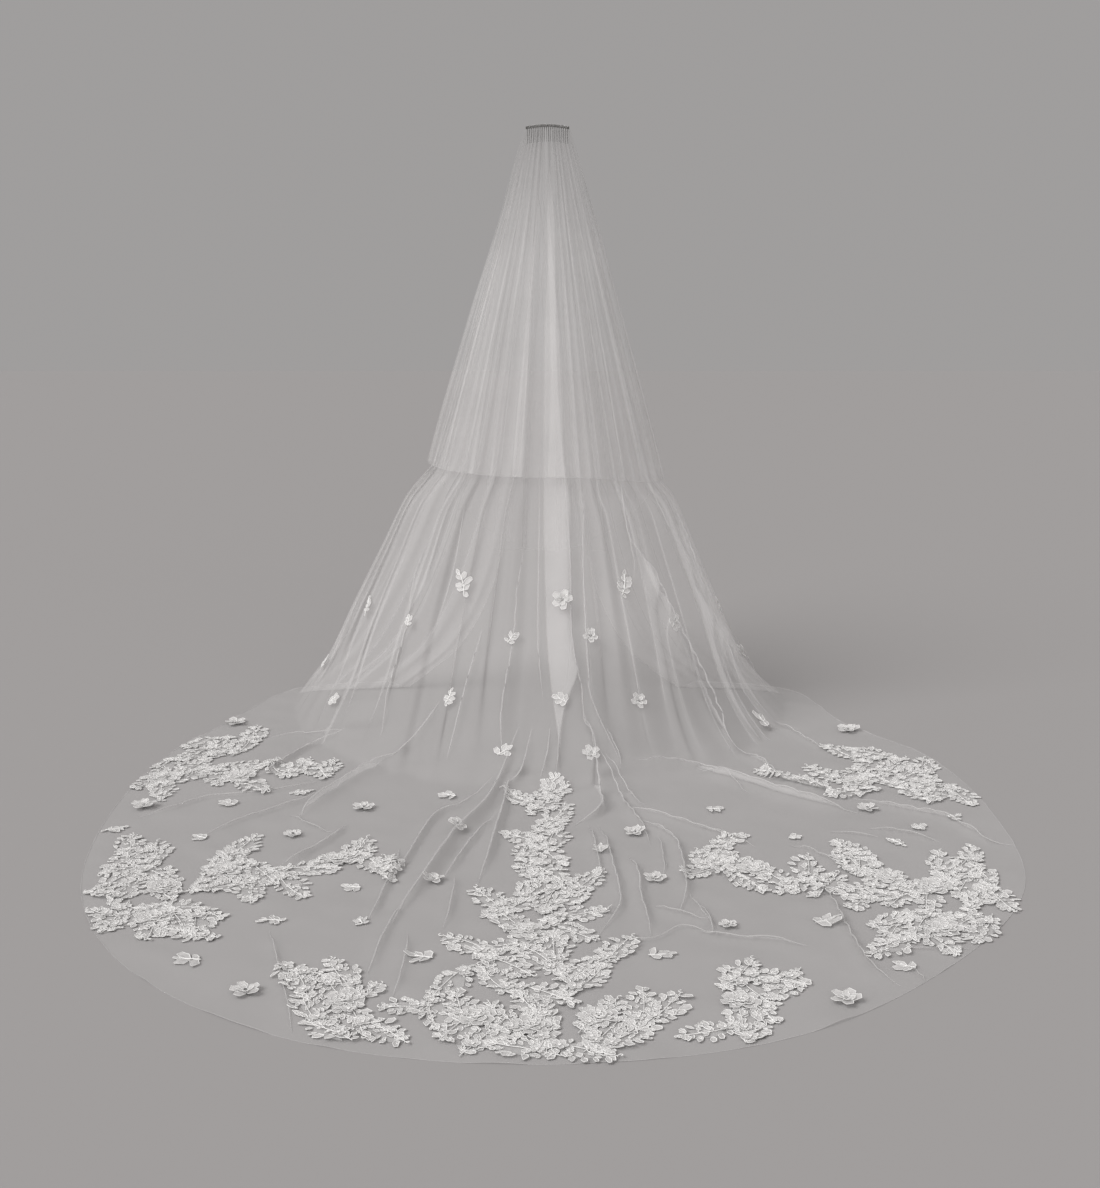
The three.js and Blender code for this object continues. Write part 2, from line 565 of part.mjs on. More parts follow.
function combGeometry() {
  const upright = {
    origin: new THREE.Vector3(0, 0, 0),
    right: new THREE.Vector3(1, 0, 0),
    up: new THREE.Vector3(0, 0, 1),
    out: new THREE.Vector3(0, -1, 0),
  };
  const stops = evenly(12).map((share) => share * COMB.length / 2);
  const edge = (side) => stops.map((x) => [x, archAt(x) + side * COMB.height / 2]);
  const bar = [...edge(-1), ...edge(1).reverse()];
  const parts = [prism(bar, -COMB.thickness / 2, COMB.thickness / 2, upright)];
  for (let tooth = 0; tooth < COMB.teeth; tooth += 1) {
    const x = (tooth / (COMB.teeth - 1) - 0.5) * COMB.spread;
    const root = archAt(x) - COMB.height / 4;
    const outline = [
      [x - COMB.toothWidth / 2, root],
      [x - COMB.tipWidth / 2, root - COMB.toothLength],
      [x + COMB.tipWidth / 2, root - COMB.toothLength],
      [x + COMB.toothWidth / 2, root],
    ];
    parts.push(prism(outline, -COMB.toothWidth / 2, COMB.toothWidth / 2, upright));
  }
  return geometryFrom(joined(parts));
}

addMesh('hair_comb', combGeometry(), combMetal);
addMesh('long_tier', layer(longGrid, -TULLE_WALL / 2, TULLE_WALL / 2), tulleCloth);
addMesh('upper_tier', layer(upperGrid, -TULLE_WALL / 2, TULLE_WALL / 2), tulleCloth);

const laceInner = TULLE_WALL / 2 + GAP;
const laceSlab = solidFrom(layer(longGrid, laceInner, laceInner + LACE_WALL));
const roseSlab = solidFrom(layer(longGrid, laceInner, laceInner + ROSE_WALL));

const flat = {
  origin: new THREE.Vector3(0, 0, -FLOOR_DROP),
  right: new THREE.Vector3(1, 0, 0),
  up: new THREE.Vector3(0, 1, 0),
  out: new THREE.Vector3(0, 0, 1),
};
// How far the outlines are raised to cut through the layer of lace
const PRISM_LOW = -5;
const PRISM_HIGH = 120;
const HANGING_LOW = -30;
const HANGING_HIGH = 60;

for (const [name, spray] of Object.entries(SPRAYS)) {
  const raised = (outline) => prism(outline, PRISM_LOW, PRISM_HIGH, flat);
  const leaves = joined(spray.twigs.map((twig) => raised(twigOutline(twig))));
  const roses = joined(spray.roses.map(([x, y]) =>
    raised(flowerOutline(x, y, ROSE.radius, ROSE.petals, ROSE.turn))));
  const solid = leaves.intersect(laceSlab).add(roses.intersect(roseSlab));
  addMesh(name, geometryFrom(solid), laceCloth);
}

// Finds how far round the front of the long tier a given x lies at one drop
const FRONT_FROM = -0.55;
const FRONT_TO = 0.6;
function aroundAt(x, drop) {
  let low = FRONT_FROM;
  let high = FRONT_TO;
  for (let step = 0; step < 30; step += 1) {
    const middle = (low + high) / 2;
    if (outlinePoint(LONG_SECTIONS, middle, drop).x < x) low = middle;
    else high = middle;
  }
  return (low + high) / 2;
}

// The place and directions of a small motif on the falling sheet
function hangingPlace({ x, drop, turn }) {
  const around = aroundAt(x, drop);
  const origin = outlinePoint(LONG_SECTIONS, around, drop);
  const aside = outlinePoint(LONG_SECTIONS, around + 0.01, drop).sub(origin).normalize();
  const above = outlinePoint(LONG_SECTIONS, around, drop - 10).sub(origin).normalize();
  const out = aside.clone().cross(above).normalize();
  const up = out.clone().cross(aside).normalize();
  return turned({ origin, right: aside, up, out }, turn);
}

function turned(place, degrees) {
  const right = place.right.clone().applyAxisAngle(place.out, radians(degrees));
  const up = place.up.clone().applyAxisAngle(place.out, radians(degrees));
  return { ...place, right, up };
}

function addSprig(name, sprig, place, low, high) {
  const solids = sprigOutlines(sprig).map((outline) => prism(outline, low, high, place));
  addMesh(name, geometryFrom(joined(solids).intersect(laceSlab)), laceCloth);
}

HANGING_SPRIGS.forEach((sprig, index) => {
  const name = `hanging_sprig_${index + 1}`;
  addSprig(name, sprig, hangingPlace(sprig), HANGING_LOW, HANGING_HIGH);
});
FLOOR_SPRIGS.forEach((sprig, index) => {
  const place = { ...flat, origin: new THREE.Vector3(sprig.x, sprig.y, -FLOOR_DROP) };
  addSprig(`floor_sprig_${index + 1}`, sprig, turned(place, sprig.turn), PRISM_LOW, PRISM_HIGH);
});

export default veil;
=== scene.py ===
# Looks of the two tier bridal veil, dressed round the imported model
#
# Lengths in the tables are millimetres in the part's own frame: the origin is
# the middle of the comb's bar, +Z is up, and the train runs out along -Y. The
# tables of the tiers and of the lace repeat those of the part's source.

import math

import bmesh
import bpy
import numpy as np
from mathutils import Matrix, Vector


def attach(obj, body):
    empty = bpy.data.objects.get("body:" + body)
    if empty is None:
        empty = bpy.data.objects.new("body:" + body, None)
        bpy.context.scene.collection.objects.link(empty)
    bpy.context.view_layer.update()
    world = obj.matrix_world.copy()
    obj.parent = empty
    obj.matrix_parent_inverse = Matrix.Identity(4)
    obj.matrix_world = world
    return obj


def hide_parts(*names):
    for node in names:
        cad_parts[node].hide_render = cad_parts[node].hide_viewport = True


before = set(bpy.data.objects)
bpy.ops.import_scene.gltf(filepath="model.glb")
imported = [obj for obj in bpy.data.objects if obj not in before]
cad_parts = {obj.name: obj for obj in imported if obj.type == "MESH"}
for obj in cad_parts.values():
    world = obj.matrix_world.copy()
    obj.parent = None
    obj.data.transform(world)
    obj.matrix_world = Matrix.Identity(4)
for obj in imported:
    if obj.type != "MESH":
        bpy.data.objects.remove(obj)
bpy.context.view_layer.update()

MM = 0.001
FLOOR_DROP = 1417
TULLE_WALL = 1.2
# Middle of the net where it lies on the floor, where cords on it lie, and the
# height below which it counts as lying
LOWEST = -FLOOR_DROP + TULLE_WALL / 2
LOWEST_CORD = -FLOOR_DROP + TULLE_WALL
LYING = -FLOOR_DROP + 3
TOP_DROP = 3.3
# The upper tier's hem at the left, the right and behind, how far it goes round
# in degrees, and how far its right edge passes behind its left one
HEM_LEFT = 802
HEM_RIGHT = 846
HEM_BACK = 1055
UPPER_TURN = 205
OVERLAP_STEP = 10

# drop, left, right, front, back, degrees that the sheet goes on round behind
LONG_SECTIONS = np.array([
    (3, 51.5, 51.5, 7, 7, 76), (60, 66, 66, 20, 12, 76), (217, 106, 106, 62, 20, 76),
    (457, 178, 170, 134, 34, 76), (806, 287, 267, 242, 46, 76), (850, 324, 282, 262, 48, 76),
    (890, 356, 318, 282, 52, 76), (1009, 416, 370, 338, 58, 75), (1166, 496, 437, 430, 66, 72),
    (1299, 562, 497, 535, 70, 66), (1366, 611, 550, 610, 72, 60), (1417, 650, 610, 700, 74, 55),
], float)
UPPER_SECTIONS = np.array([
    (3, 54.4, 54.4, 10, 10, 84), (60, 72, 72, 26, 18, 84), (217, 115, 115, 71, 30, 102),
    (457, 190, 182, 146, 48, 113), (804, 294, 276, 256, 78, 115), (1060, 350, 336, 300, 96, 115),
], float)
# around, x, y
RIM = np.array([
    (-1, -420, 120), (-0.82, -590, 85), (-0.68, -700, 0), (-0.58, -800, -260), (-0.5, -880, -470),
    (-0.4, -917, -850), (-0.3, -865, -1240), (-0.2, -690, -1555), (-0.1, -385, -1780),
    (0, 0, -1850), (0.1, 390, -1765), (0.2, 705, -1505), (0.3, 900, -1200), (0.4, 935, -830),
    (0.5, 880, -480), (0.58, 735, -250), (0.68, 660, 0), (0.82, 555, 85), (1, 400, 120),
], float)

# Each spray's leaf shaped twigs, start x, y, end x, y and, where it isn't
# TWIG_WIDTH, width, then the places of its roses
TWIG_WIDTH = 55
SPRAYS = {
"lace_centre": ([
    (24, -1829, -100, -1783), (-131, -1831, -65, -1717), (-33, -1779, -99, -1665),
    (-94, -1674, -163, -1787), (-128, -1731, -147, -1630, 46), (1, -1820, -25, -1681),
    (-16, -1787, 108, -1833), (57, -1819, 123, -1705), (72, -1819, 169, -1732),
    (153, -1747, 219, -1633), (19, -1739, -47, -1625), (-45, -1647, -111, -1533),
    (141, -1757, 157, -1621), (-117, -1529, -183, -1643), (-189, -1621, -167, -1751),
    (-180, -1672, -262, -1676, 50), (-78, -1590, 45, -1668), (22, -1654, 103, -1525),
    (85, -1539, 151, -1425), (118, -1482, 25, -1587), (32, -1579, -55, -1449), (16, -1555, 11, -1405),
    (11, -1417, -109, -1480), (-24, -1435, -91, -1317), (-121, -1348, -19, -1264),
    (-69, -1331, -135, -1217), (-79, -1504, -181, -1420), (-63, -1287, 3, -1173),
    (-16, -1206, -45, -1073), (-51, -1094, -33, -998, 46), (-35, -1005, 35, -1115),
    (-35, -1077, 31, -1191), (3, -1051, 25, -921), (13, -1024, -89, -940), (-38, -982, 35, -869),
    (-125, -1488, -23, -1572), (26, -1182, -9, -1327), (-7, -1315, 79, -1221), (37, -1255, 103, -1141),
    (-2, -925, 43, -789), (76, -1786, 59, -1746, 9), (49, -1763, 115, -1649), (-7, -1315, -1, -1368, 9),
    (-17, -1356, 85, -1440), (-12, -1357, 112, -1311), (30, -828, -31, -802, 9), (-21, -819, -87, -705),
    (-43, -851, 23, -737), (-53, -772, 49, -688), (-2, -730, 24, -662, 42)
], [(-38, -1400), (-111, -1707), (83, -1709), (-24, -1738)]),
"lace_front_left": ([
    (-296, -1789, -372, -1727, 46), (-342, -1751, -399, -1621), (-382, -1659, -427, -1537),
    (-440, -1520, -428, -1588, 36), (-423, -1547, -355, -1584, 36), (-375, -1569, -309, -1683),
    (-312, -1660, -276, -1600, 36), (-298, -1636, -367, -1517), (-328, -1650, -281, -1775),
    (-317, -1704, -215, -1788)], [(-325, -1654)]),
"lace_front_right": ([
    (304, -1792, 340, -1732, 36), (307, -1787, 317, -1653), (293, -1613, 359, -1727),
    (285, -1627, 351, -1513), (301, -1565, 367, -1679), (304, -1555, 428, -1601),
    (427, -1541, 361, -1655), (311, -1734, 204, -1771, 46)], [(313, -1659)]),
"lace_left_lower": ([
    (-797, -1299, -775, -1169), (-791, -1262, -852, -1238, 30), (-846, -1240, -781, -1129),
    (-801, -1108, -699, -1192), (-747, -1076, -849, -1160), (-759, -1123, -781, -993),
    (-777, -1017, -847, -1127), (-819, -1084, -845, -957), (-755, -1157, -689, -1271),
    (-701, -1250, -653, -1226, 9), (-672, -1233, -548, -1187), (-565, -1153, -543, -1283),
    (-662, -1229, -601, -1105), (-587, -1069, -609, -1199), (-588, -1079, -509, -1199),
    (-549, -1139, -396, -1126), (-472, -1133, -371, -1044), (-385, -1107, -363, -977),
    (-374, -1042, -305, -1155), (-295, -1199, -317, -1069), (-520, -1137, -449, -1259),
    (-632, -1167, -653, -1138, 9), (-663, -1155, -597, -1041), (-630, -1098, -589, -965)
], [(-718, -1213), (-619, -1136), (-409, -1083)]),
"lace_left_corner": ([
    (-779, -1340, -828, -1312, 32), (-767, -1273, -789, -1403), (-783, -1411, -717, -1297),
    (-756, -1306, -624, -1306), (-718, -1306, -695, -1435), (-635, -1306, -583, -1352, 36),
    (-633, -1301, -611, -1431), (-572, -1431, -664, -1397, 46), (-699, -1293, -633, -1407),
    (-673, -1338, -672, -1420, 36)], [(-704, -1344)]),
"lace_left_upper": ([
    (-827, -771, -849, -641), (-843, -679, -773, -561), (-779, -570, -628, -531),
    (-749, -545, -727, -675), (-728, -665, -657, -549), (-708, -631, -603, -716),
    (-643, -509, -577, -623), (-573, -631, -551, -501), (-555, -517, -489, -631),
    (-494, -622, -491, -510, 46), (-815, -632, -833, -598, 9), (-843, -615, -777, -501),
    (-795, -515, -729, -401), (-837, -581, -903, -695), (-781, -471, -759, -341),
    (-755, -340, -857, -424), (-770, -406, -851, -511), (-851, -477, -873, -607),
    (-762, -458, -726, -463, 9), (-729, -483, -707, -353), (-691, -399, -713, -269)
], [(-862, -624), (-682, -614)]),
"lace_right_band": ([
    (493, -1263, 559, -1149), (533, -1194, 496, -1184, 9), (508, -1175, 432, -1237, 46),
    (471, -1231, 405, -1117), (487, -1199, 509, -1069), (431, -1162, 349, -1065),
    (373, -1052, 319, -1096, 36), (364, -1083, 259, -1168), (334, -1108, 403, -1231),
    (312, -1126, 359, -997), (320, -1021, 396, -959, 46), (301, -1135, 296, -1040, 36)
], [(397, -1126)]),
"lace_right_lower": ([
    (761, -1323, 790, -1262, 30), (761, -1323, 827, -1209), (823, -1189, 845, -1319),
    (843, -1218, 825, -1122, 46), (829, -1140, 757, -1259), (770, -1237, 745, -1134, 46),
    (755, -1175, 777, -1045), (773, -1164, 671, -1248), (680, -1242, 613, -1129),
    (637, -1085, 615, -1215), (643, -1103, 577, -989), (617, -1025, 595, -1155),
    (691, -1185, 625, -1299), (668, -1250, 536, -1250), (636, -1203, 560, -1230, 45),
    (588, -1164, 576, -1096, 36), (568, -1100, 580, -1032, 36), (773, -1175, 839, -1061),
    (825, -1118, 843, -1022, 46), (602, -1250, 551, -1308, 36), (722, -1206, 690, -1312, 46)
], [(726, -1214), (653, -1168)]),
"lace_right_corner": ([
    (572, -1393, 648, -1331, 46), (642, -1336, 747, -1338, 46), (707, -1313, 641, -1427),
    (653, -1416, 551, -1500), (675, -1365, 697, -1495), (675, -1416, 777, -1332),
    (650, -1336, 589, -1455), (768, -1338, 793, -1350, 9), (803, -1333, 737, -1447)], [(703, -1391)]),
"lace_right_upper": ([
    (809, -791, 875, -677), (814, -782, 783, -661), (794, -726, 863, -613), (783, -703, 717, -589),
    (722, -598, 657, -711), (764, -670, 835, -553), (728, -691, 604, -737), (627, -728, 557, -617),
    (843, -631, 865, -501), (883, -665, 905, -795), (585, -661, 471, -584), (736, -622, 819, -501),
    (812, -511, 699, -424), (771, -473, 705, -587), (711, -545, 645, -659), (655, -663, 589, -549),
    (738, -530, 649, -405)], [(687, -651), (828, -667)]),
}
# x, drop, kind, size, turn
HANGING_SPRIGS = [
    (-200, 1040, "twig", 62, 20), (180, 1045, "twig", 58, -25), (32, 1075, "flower", 46, 10),
    (-440, 1135, "twig", 42, 15), (-82, 1150, "leaf", 36, -30), (96, 1150, "flower", 32, 0),
    (302, 1145, "leaf", 42, -60), (430, 1160, "twig", 38, -20), (-565, 1310, "leaf", 40, 0),
    (-225, 1275, "twig", 40, -15), (30, 1270, "leaf", 36, 60), (208, 1285, "flower", 36, 20),
    (-515, 1340, "leaf", 42, -40), (530, 1300, "leaf", 42, 20), (-95, 1365, "leaf", 40, -50),
    (96, 1370, "flower", 38, 40),
]
# x, y, kind, size, turn
FLOOR_SPRIGS = [
    (-765, -240, "flower", 48, 30), (728, -295, "flower", 52, 0), (517, -290, "leaf", 44, 50),
    (-215, -740, "leaf", 44, 70), (-530, -715, "twig", 44, -80), (-680, -785, "leaf", 40, 65),
    (-855, -800, "flower", 50, 10), (-880, -925, "twig", 46, -70), (-700, -970, "leaf", 34, 60),
    (-515, -958, "flower", 34, 0), (-388, -810, "flower", 44, 50), (-365, -1215, "leaf", 38, 80),
    (-495, -1360, "twig", 46, 85), (-332, -1360, "leaf", 32, 20), (-610, -1512, "leaf", 54, 85),
    (-490, -1625, "flower", 46, 15), (-215, -1500, "leaf", 50, 75), (356, -820, "leaf", 38, -80),
    (676, -815, "flower", 42, 0), (760, -920, "leaf", 38, -60), (850, -860, "twig", 44, -50),
    (698, -995, "twig", 40, 30), (500, -1360, "leaf", 56, -60), (603, -1535, "leaf", 44, 50),
    (482, -1655, "flower", 48, 30), (-183, -942, "flower", 36, 0), (-214, -1185, "flower", 38, 25),
    (178, -948, "flower", 40, 40), (105, -1036, "leaf", 38, 0), (205, -1176, "flower", 40, 10),
    (196, -1493, "leaf", 50, -80),
]

# Main folds: rise, half width and lean to one side, then their route over the
# falling cloth and, where a place has no height, the floor
FOLD_FLOOR = -1416
FOLD_ROWS = [
    (20, 15, -22, [(-335, -535, -1382), (-397, -604), (-464, -759), (-521, -871)]),
    (7, 8, 4, [(-538, -852), (-481, -920), (-440, -946)]),
    (10, 11, 8, [(-412, -903), (-447, -989), (-484, -1058), (-522, -1124)]),
    (9, 10, 6, [(-440, -676), (-548, -786), (-647, -888), (-702, -965)]),
    (8, 9, 5, [(-490, -639), (-619, -719), (-729, -745), (-797, -812), (-856, -865)]),
    (13, 9, 8, [(-476, -398, -1375), (-563, -418), (-618, -543), (-647, -618)]),
    (7, 8, 4, [(-476, -400, -1376), (-594, -318), (-671, -352)]),
    (6, 8, 3, [(-490, -1395), (-450, -1550), (-416, -1672), (-393, -1759)]),
    (10, 9, 6, [(-292, -1023), (-309, -1229), (-322, -1376)]),
    (8, 9, 5, [(-270, -1280), (-293, -1450), (-298, -1561)]),
    (22, 20, 20, [(-64, -552, -1321), (-120, -665, -1404), (-148, -796), (-205, -976), (-261, -1237),
     (-277, -1375)]),
    (11, 9, 8, [(-129, -664, -1405), (-181, -783), (-241, -858), (-283, -1094), (-310, -1245)]),
    (16, 10, 8, [(-34, -555, -1321), (-64, -653, -1393), (-93, -687, -1414), (-100, -808),
     (-117, -1008), (-129, -1196)]),
    (9, 8, 5, [(-113, -858), (-161, -1008), (-203, -1198)]),
    (9, 7, 4, [(5, -556, -1321), (-4, -608, -1364), (-15, -667, -1399)]),
    (8, 6, 3, [(25, -547, -1313), (22, -588, -1350), (20, -649, -1390)]),
    (24, 16, 26, [(71, -528, -1297), (79, -603, -1366), (88, -746), (91, -832), (57, -905)]),
    (12, 8, 7, [(111, -580, -1353), (153, -758), (190, -918), (208, -1007)]),
    (10, 8, 5, [(130, -595, -1368), (177, -746), (211, -790)]),
    (8, 7, 4, [(136, -541, -1326), (154, -591, -1370), (165, -622, -1390)]),
    (10, 8, 5, [(165, -808), (239, -859), (314, -930), (380, -985)]),
    (14, 10, 9, [(180, -859), (240, -976), (254, -1075), (252, -1234), (240, -1329)]),
    (9, 8, 5, [(85, -905), (96, -1095), (101, -1177), (84, -1217)]),
    (11, 9, 6, [(106, -905), (121, -1095), (129, -1236), (126, -1311), (89, -1422)]),
    (12, 10, 6, [(161, -1064), (169, -1186), (168, -1274), (184, -1421)]),
    (7, 7, 4, [(224, -962), (223, -1166)]),
    (8, 8, 4, [(193, -1296), (247, -1338), (285, -1355)]),
    (7, 8, 4, [(126, -1442), (184, -1444), (242, -1391), (303, -1427)]),
    (6, 7, 3, [(262, -1245), (292, -1403)]),
    (14, 9, 9, [(197, -595, -1382), (331, -576, -1411), (383, -638), (437, -720)]),
    (7, 8, 4, [(-244, -1407), (-245, -1532), (-249, -1645)]),
    (8, 9, 4, [(-176, -1166), (-180, -1320), (-183, -1391)]),
    (24, 11, 16, [(189, -251, -935), (273, -304, -1122), (345, -347, -1261), (406, -434, -1377),
     (463, -474)]),
    (17, 9, 9, [(447, -456, -1408), (484, -545), (507, -635), (542, -667), (595, -708), (654, -756)]),
    (12, 8, 6, [(654, -756), (725, -806), (824, -869), (857, -942), (889, -995), (931, -1009)]),
    (19, 14, 20, [(333, -583, -1415), (411, -654), (506, -749), (588, -808), (654, -835)]),
    (10, 8, 5, [(557, -249, -1407), (616, -384), (653, -443)]),
    (6, 7, 3, [(575, -942), (670, -970)]),
    (7, 7, 3, [(656, -920), (736, -954), (790, -997)]),
    (8, 8, 4, [(484, -1008), (544, -1079), (575, -1160)]),
    (7, 7, 3, [(310, -916), (380, -979), (415, -1025)]),
    (11, 8, 6, [(502, -1146), (515, -1255), (523, -1351), (529, -1449), (541, -1532), (581, -1604)]),
    (9, 8, 5, [(262, -1401), (306, -1428), (384, -1444), (454, -1460)]),
    (7, 7, 4, [(280, -1293), (292, -1418)]),
    (6, 6, 3, [(611, -1542), (625, -1588)]),
    (5, 7, 3, [(600, -1477), (729, -1468)]),
    (16, 12, 14, [(230, -112, -785), (266, -168, -907), (336, -181, -1051), (412, -189, -1204),
     (486, -237, -1346)]),
    (14, 10, 8, [(285, 1, -854), (332, -117, -976), (360, -144, -1059), (423, -132, -1180),
     (529, -70, -1347), (587, -90, -1403)]),
    (10, 9, 7, [(172, -184, -803), (179, -242, -905), (207, -303, -1046)]),
    (14, 14, -16, [(86, -232, -814), (104, -438, -1195), (112, -496, -1271), (156, -607, -1380)]),
    (18, 17, 24, [(38, -186, -638), (33, -269, -868), (30, -351, -1035), (34, -430, -1168),
     (65, -524, -1292), (81, -618, -1375)]),
    (9, 9, 6, [(-19, -234, -783), (-27, -414, -1142), (-9, -511, -1272)]),
    (12, 10, -9, [(-58, -315, -969), (-68, -410, -1142), (-91, -501, -1268), (-105, -615, -1375)]),
    (12, 10, 8, [(-151, -389, -1136), (-180, -436, -1214), (-207, -507, -1309), (-226, -595, -1384)]),
    (12, 10, -9, [(-304, -219, -991), (-318, -305, -1133), (-351, -374, -1251), (-385, -478, -1369)]),
    (13, 10, 9, [(-247, -468, -1286), (-300, -510, -1351), (-356, -551, -1398)]),
    (9, 10, 7, [(-198, -227, -877), (-226, -293, -1025), (-272, -361, -1168)]),
]
FOLDS = [(rise, half, lean, [(*place, FOLD_FLOOR)[:3] for place in route])
         for rise, half, lean, route in FOLD_ROWS]


# Curves and tables

def mix(a, b, share):
    return a + (b - a) * share


def rows_of(*columns):
    """Rows from columns, each of them an array or one number"""
    return np.stack(np.broadcast_arrays(*columns), -1)


def smooth(share):
    t = np.clip(share, 0, 1)
    return t * t * (3 - 2 * t)


def read_table(table, value, column):
    """One column at any value of the first, along a smooth curve through the rows"""
    keys, data = table[:, 0], table[:, column]
    index = np.arange(len(keys))
    before, after = np.maximum(index - 1, 0), np.minimum(index + 1, len(keys) - 1)
    slopes = (data[after] - data[before]) / (keys[after] - keys[before])
    row = np.clip(np.searchsorted(keys, value, side="left") - 1, 0, len(keys) - 2)
    span = keys[row + 1] - keys[row]
    t = np.clip((value - keys[row]) / span, 0, 1)
    start = (1 + 2 * t) * (1 - t) ** 2 * data[row] + t * (1 - t) ** 2 * span * slopes[row]
    end = t * t * (3 - 2 * t) * data[row + 1] + t * t * (t - 1) * span * slopes[row + 1]
    return start + end


def section(table, drop):
    """Left, right, front, back and wrap at one drop"""
    return [read_table(table, drop, column) for column in range(1, 6)]


def oval(x, y, drop):
    """1 for places on the smooth long tier at one drop, less for those inside it"""
    left, right, front, back, _ = section(LONG_SECTIONS, drop)
    return (x / np.where(x < 0, left, right)) ** 2 + (y / np.where(y < 0, front, back)) ** 2


def outline_point(table, around, drop, overlap_step=0.0):
    """A point of a tier at one drop; around is -1 and 1 at its free edges"""
    around, drop = np.broadcast_arrays(around, drop)
    left, right, front, back, wrap = section(table, drop)
    angle = np.radians(around * (90 + wrap))
    width = np.where(around < 0, left, right)
    facing = np.cos(angle)
    behind = smooth((np.abs(angle) - math.pi / 2) / math.radians(60))
    step = np.where(around > 0, overlap_step * behind * smooth(drop / 200), 0)
    depth = np.where(facing > 0, front, back + step)
    return rows_of(width * np.sin(angle), -depth * facing, -drop)


def long_base(around, down):
    """The long tier without folds; down is 1 at the floor and 2 at the rim"""
    around, down = np.broadcast_arrays(around, down)
    drop = mix(TOP_DROP, FLOOR_DROP, 1 - np.maximum(1 - down, 0) ** 1.25)
    point = outline_point(LONG_SECTIONS, around, drop)
    out = np.clip(down - 1, 0, 1)
    point[..., 0] = mix(point[..., 0], read_table(RIM, around, 1), out)
    point[..., 1] = mix(point[..., 1], read_table(RIM, around, 2), out)
    point[..., 2] = np.maximum(point[..., 2], LOWEST)
    return point


def upper_base(around, down):
    """The upper tier without folds; its hem is lower on the right side and lowest behind"""
    angle = around * UPPER_TURN
    beside = mix(HEM_LEFT, HEM_RIGHT, smooth((angle - 5) / 85))
    hem = mix(beside, HEM_BACK, smooth((np.abs(angle) - 92) / 88))
    drop = mix(TOP_DROP, hem, down)
    return outline_point(UPPER_SECTIONS, around, drop, OVERLAP_STEP)


def unit(vectors):
    return vectors / np.maximum(np.linalg.norm(vectors, axis=-1, keepdims=True), 1e-9)


NEARBY = 0.002


def surface_frame(base, around, down):
    """Point, sideways direction, outward direction and millimetres per unit of around"""
    after, before = np.minimum(around + NEARBY, 1), np.maximum(around - NEARBY, -1)
    aside = base(after, down) - base(before, down)
    below = base(around, down + NEARBY) - base(around, np.maximum(down - NEARBY, 0))
    stretch = np.linalg.norm(aside, axis=-1) / (after - before)
    return base(around, down), unit(aside), unit(np.cross(below, aside)), stretch


# The wide pleat down the middle of both tiers, as places round them
MIDDLE_PLEAT = (-0.035, 0.075)
# Gathers: widths against one another, leans of strong, weak and middle ones and
# depths as shares of the width, and the way down over which they die out
GATHER_WIDTHS = (0.55, 1.6)
STRONG_LEAN = (0.24, 0.42)
WEAK_LEAN = (0.06, 0.16)
MIDDLE_LEAN = 0.42
GATHER_DEPTHS = (0.12, 0.24)
GATHER_FADE = 0.4


def gathers(count, seed, fade_from, fade_to, strong):
    """Gathers of a tier: each leans over to one side, so that it covers itself
    in a narrow band as a knife pleat does"""
    draw = np.random.default_rng(seed)
    widths = draw.uniform(*GATHER_WIDTHS, count)
    edges = -1 + 2 * np.concatenate([[0], np.cumsum(widths)]) / widths.sum()
    edges[-1] = 1
    middle = np.searchsorted(edges, sum(MIDDLE_PLEAT) / 2) - 1
    edges[middle:middle + 2] = MIDDLE_PLEAT
    lean = np.where(draw.random(count) < strong, draw.uniform(*STRONG_LEAN, count),
                    draw.uniform(*WEAK_LEAN, count)) * np.sign(draw.uniform(-1, 1, count))
    lean[middle] = MIDDLE_LEAN
    return dict(edges=edges, lean=lean, depth=draw.uniform(*GATHER_DEPTHS, count),
                end=draw.uniform(fade_from, fade_to, count), phase=draw.uniform(0, 6.28, count))


def fade_at(table, place, down):
    """Share of a gather that is left, as it dies out on its way down"""
    return smooth((table["end"][place] - down) / GATHER_FADE)


def lean_at(table, place, down):
    """How far a gather leans over at its widest, as a share of its width"""
    fade = fade_at(table, place, down) * smooth((down + 0.02) / 0.3)
    return table["lean"][place] * fade * (1 + 0.25 * np.sin(4.5 * down + table["phase"][place]))


def gathered(tier, around, down):
    """Places on a tier with its gathers, and the directions out of its smooth sheet"""
    base, table, side, deepest = tier
    point, aside, out, stretch = surface_frame(base, around, down)
    edges = table["edges"]
    place = np.clip(np.searchsorted(edges, around, side="right") - 1, 0, len(edges) - 2)
    share = (around - edges[place]) / (edges[place + 1] - edges[place])
    width = (edges[place + 1] - edges[place]) * stretch
    wave = np.sin(2 * math.pi * share)
    lean = lean_at(table, place, down) * width * wave
    depth = np.minimum(table["depth"][place] * width, deepest) * fade_at(table, place, down)
    depth = depth * (wave + side)
    return point + aside * lean[..., None] + out * depth[..., None], out


def smooth_path(points, spacing=9.0):
    """Points at even steps on a smooth curve through the given ones"""
    points = np.array(points, float)
    padded = np.concatenate([[2 * points[0] - points[1]], points, [2 * points[-1] - points[-2]]])
    made = []
    for a, b, c, d in zip(padded, padded[1:], padded[2:], padded[3:]):
        steps = max(2, int(np.linalg.norm(c - b) / spacing))
        t = np.linspace(0, 1, steps, endpoint=False)[:, None]
        made.append(0.5 * (2 * b + (c - a) * t + (2 * a - 5 * b + 4 * c - d) * t ** 2
                           + (3 * b - a - 3 * c + d) * t ** 3))
    return np.concatenate(made + [points[-1:]])


# The main folds come up below the upper tier's hem, over this length. They
# reach so many half widths, and are worked out for so many points at a time
FOLDS_START = 680
FOLDS_FULL = 380
FOLD_REACH = 2.4
POINTS_AT_A_TIME = 20000


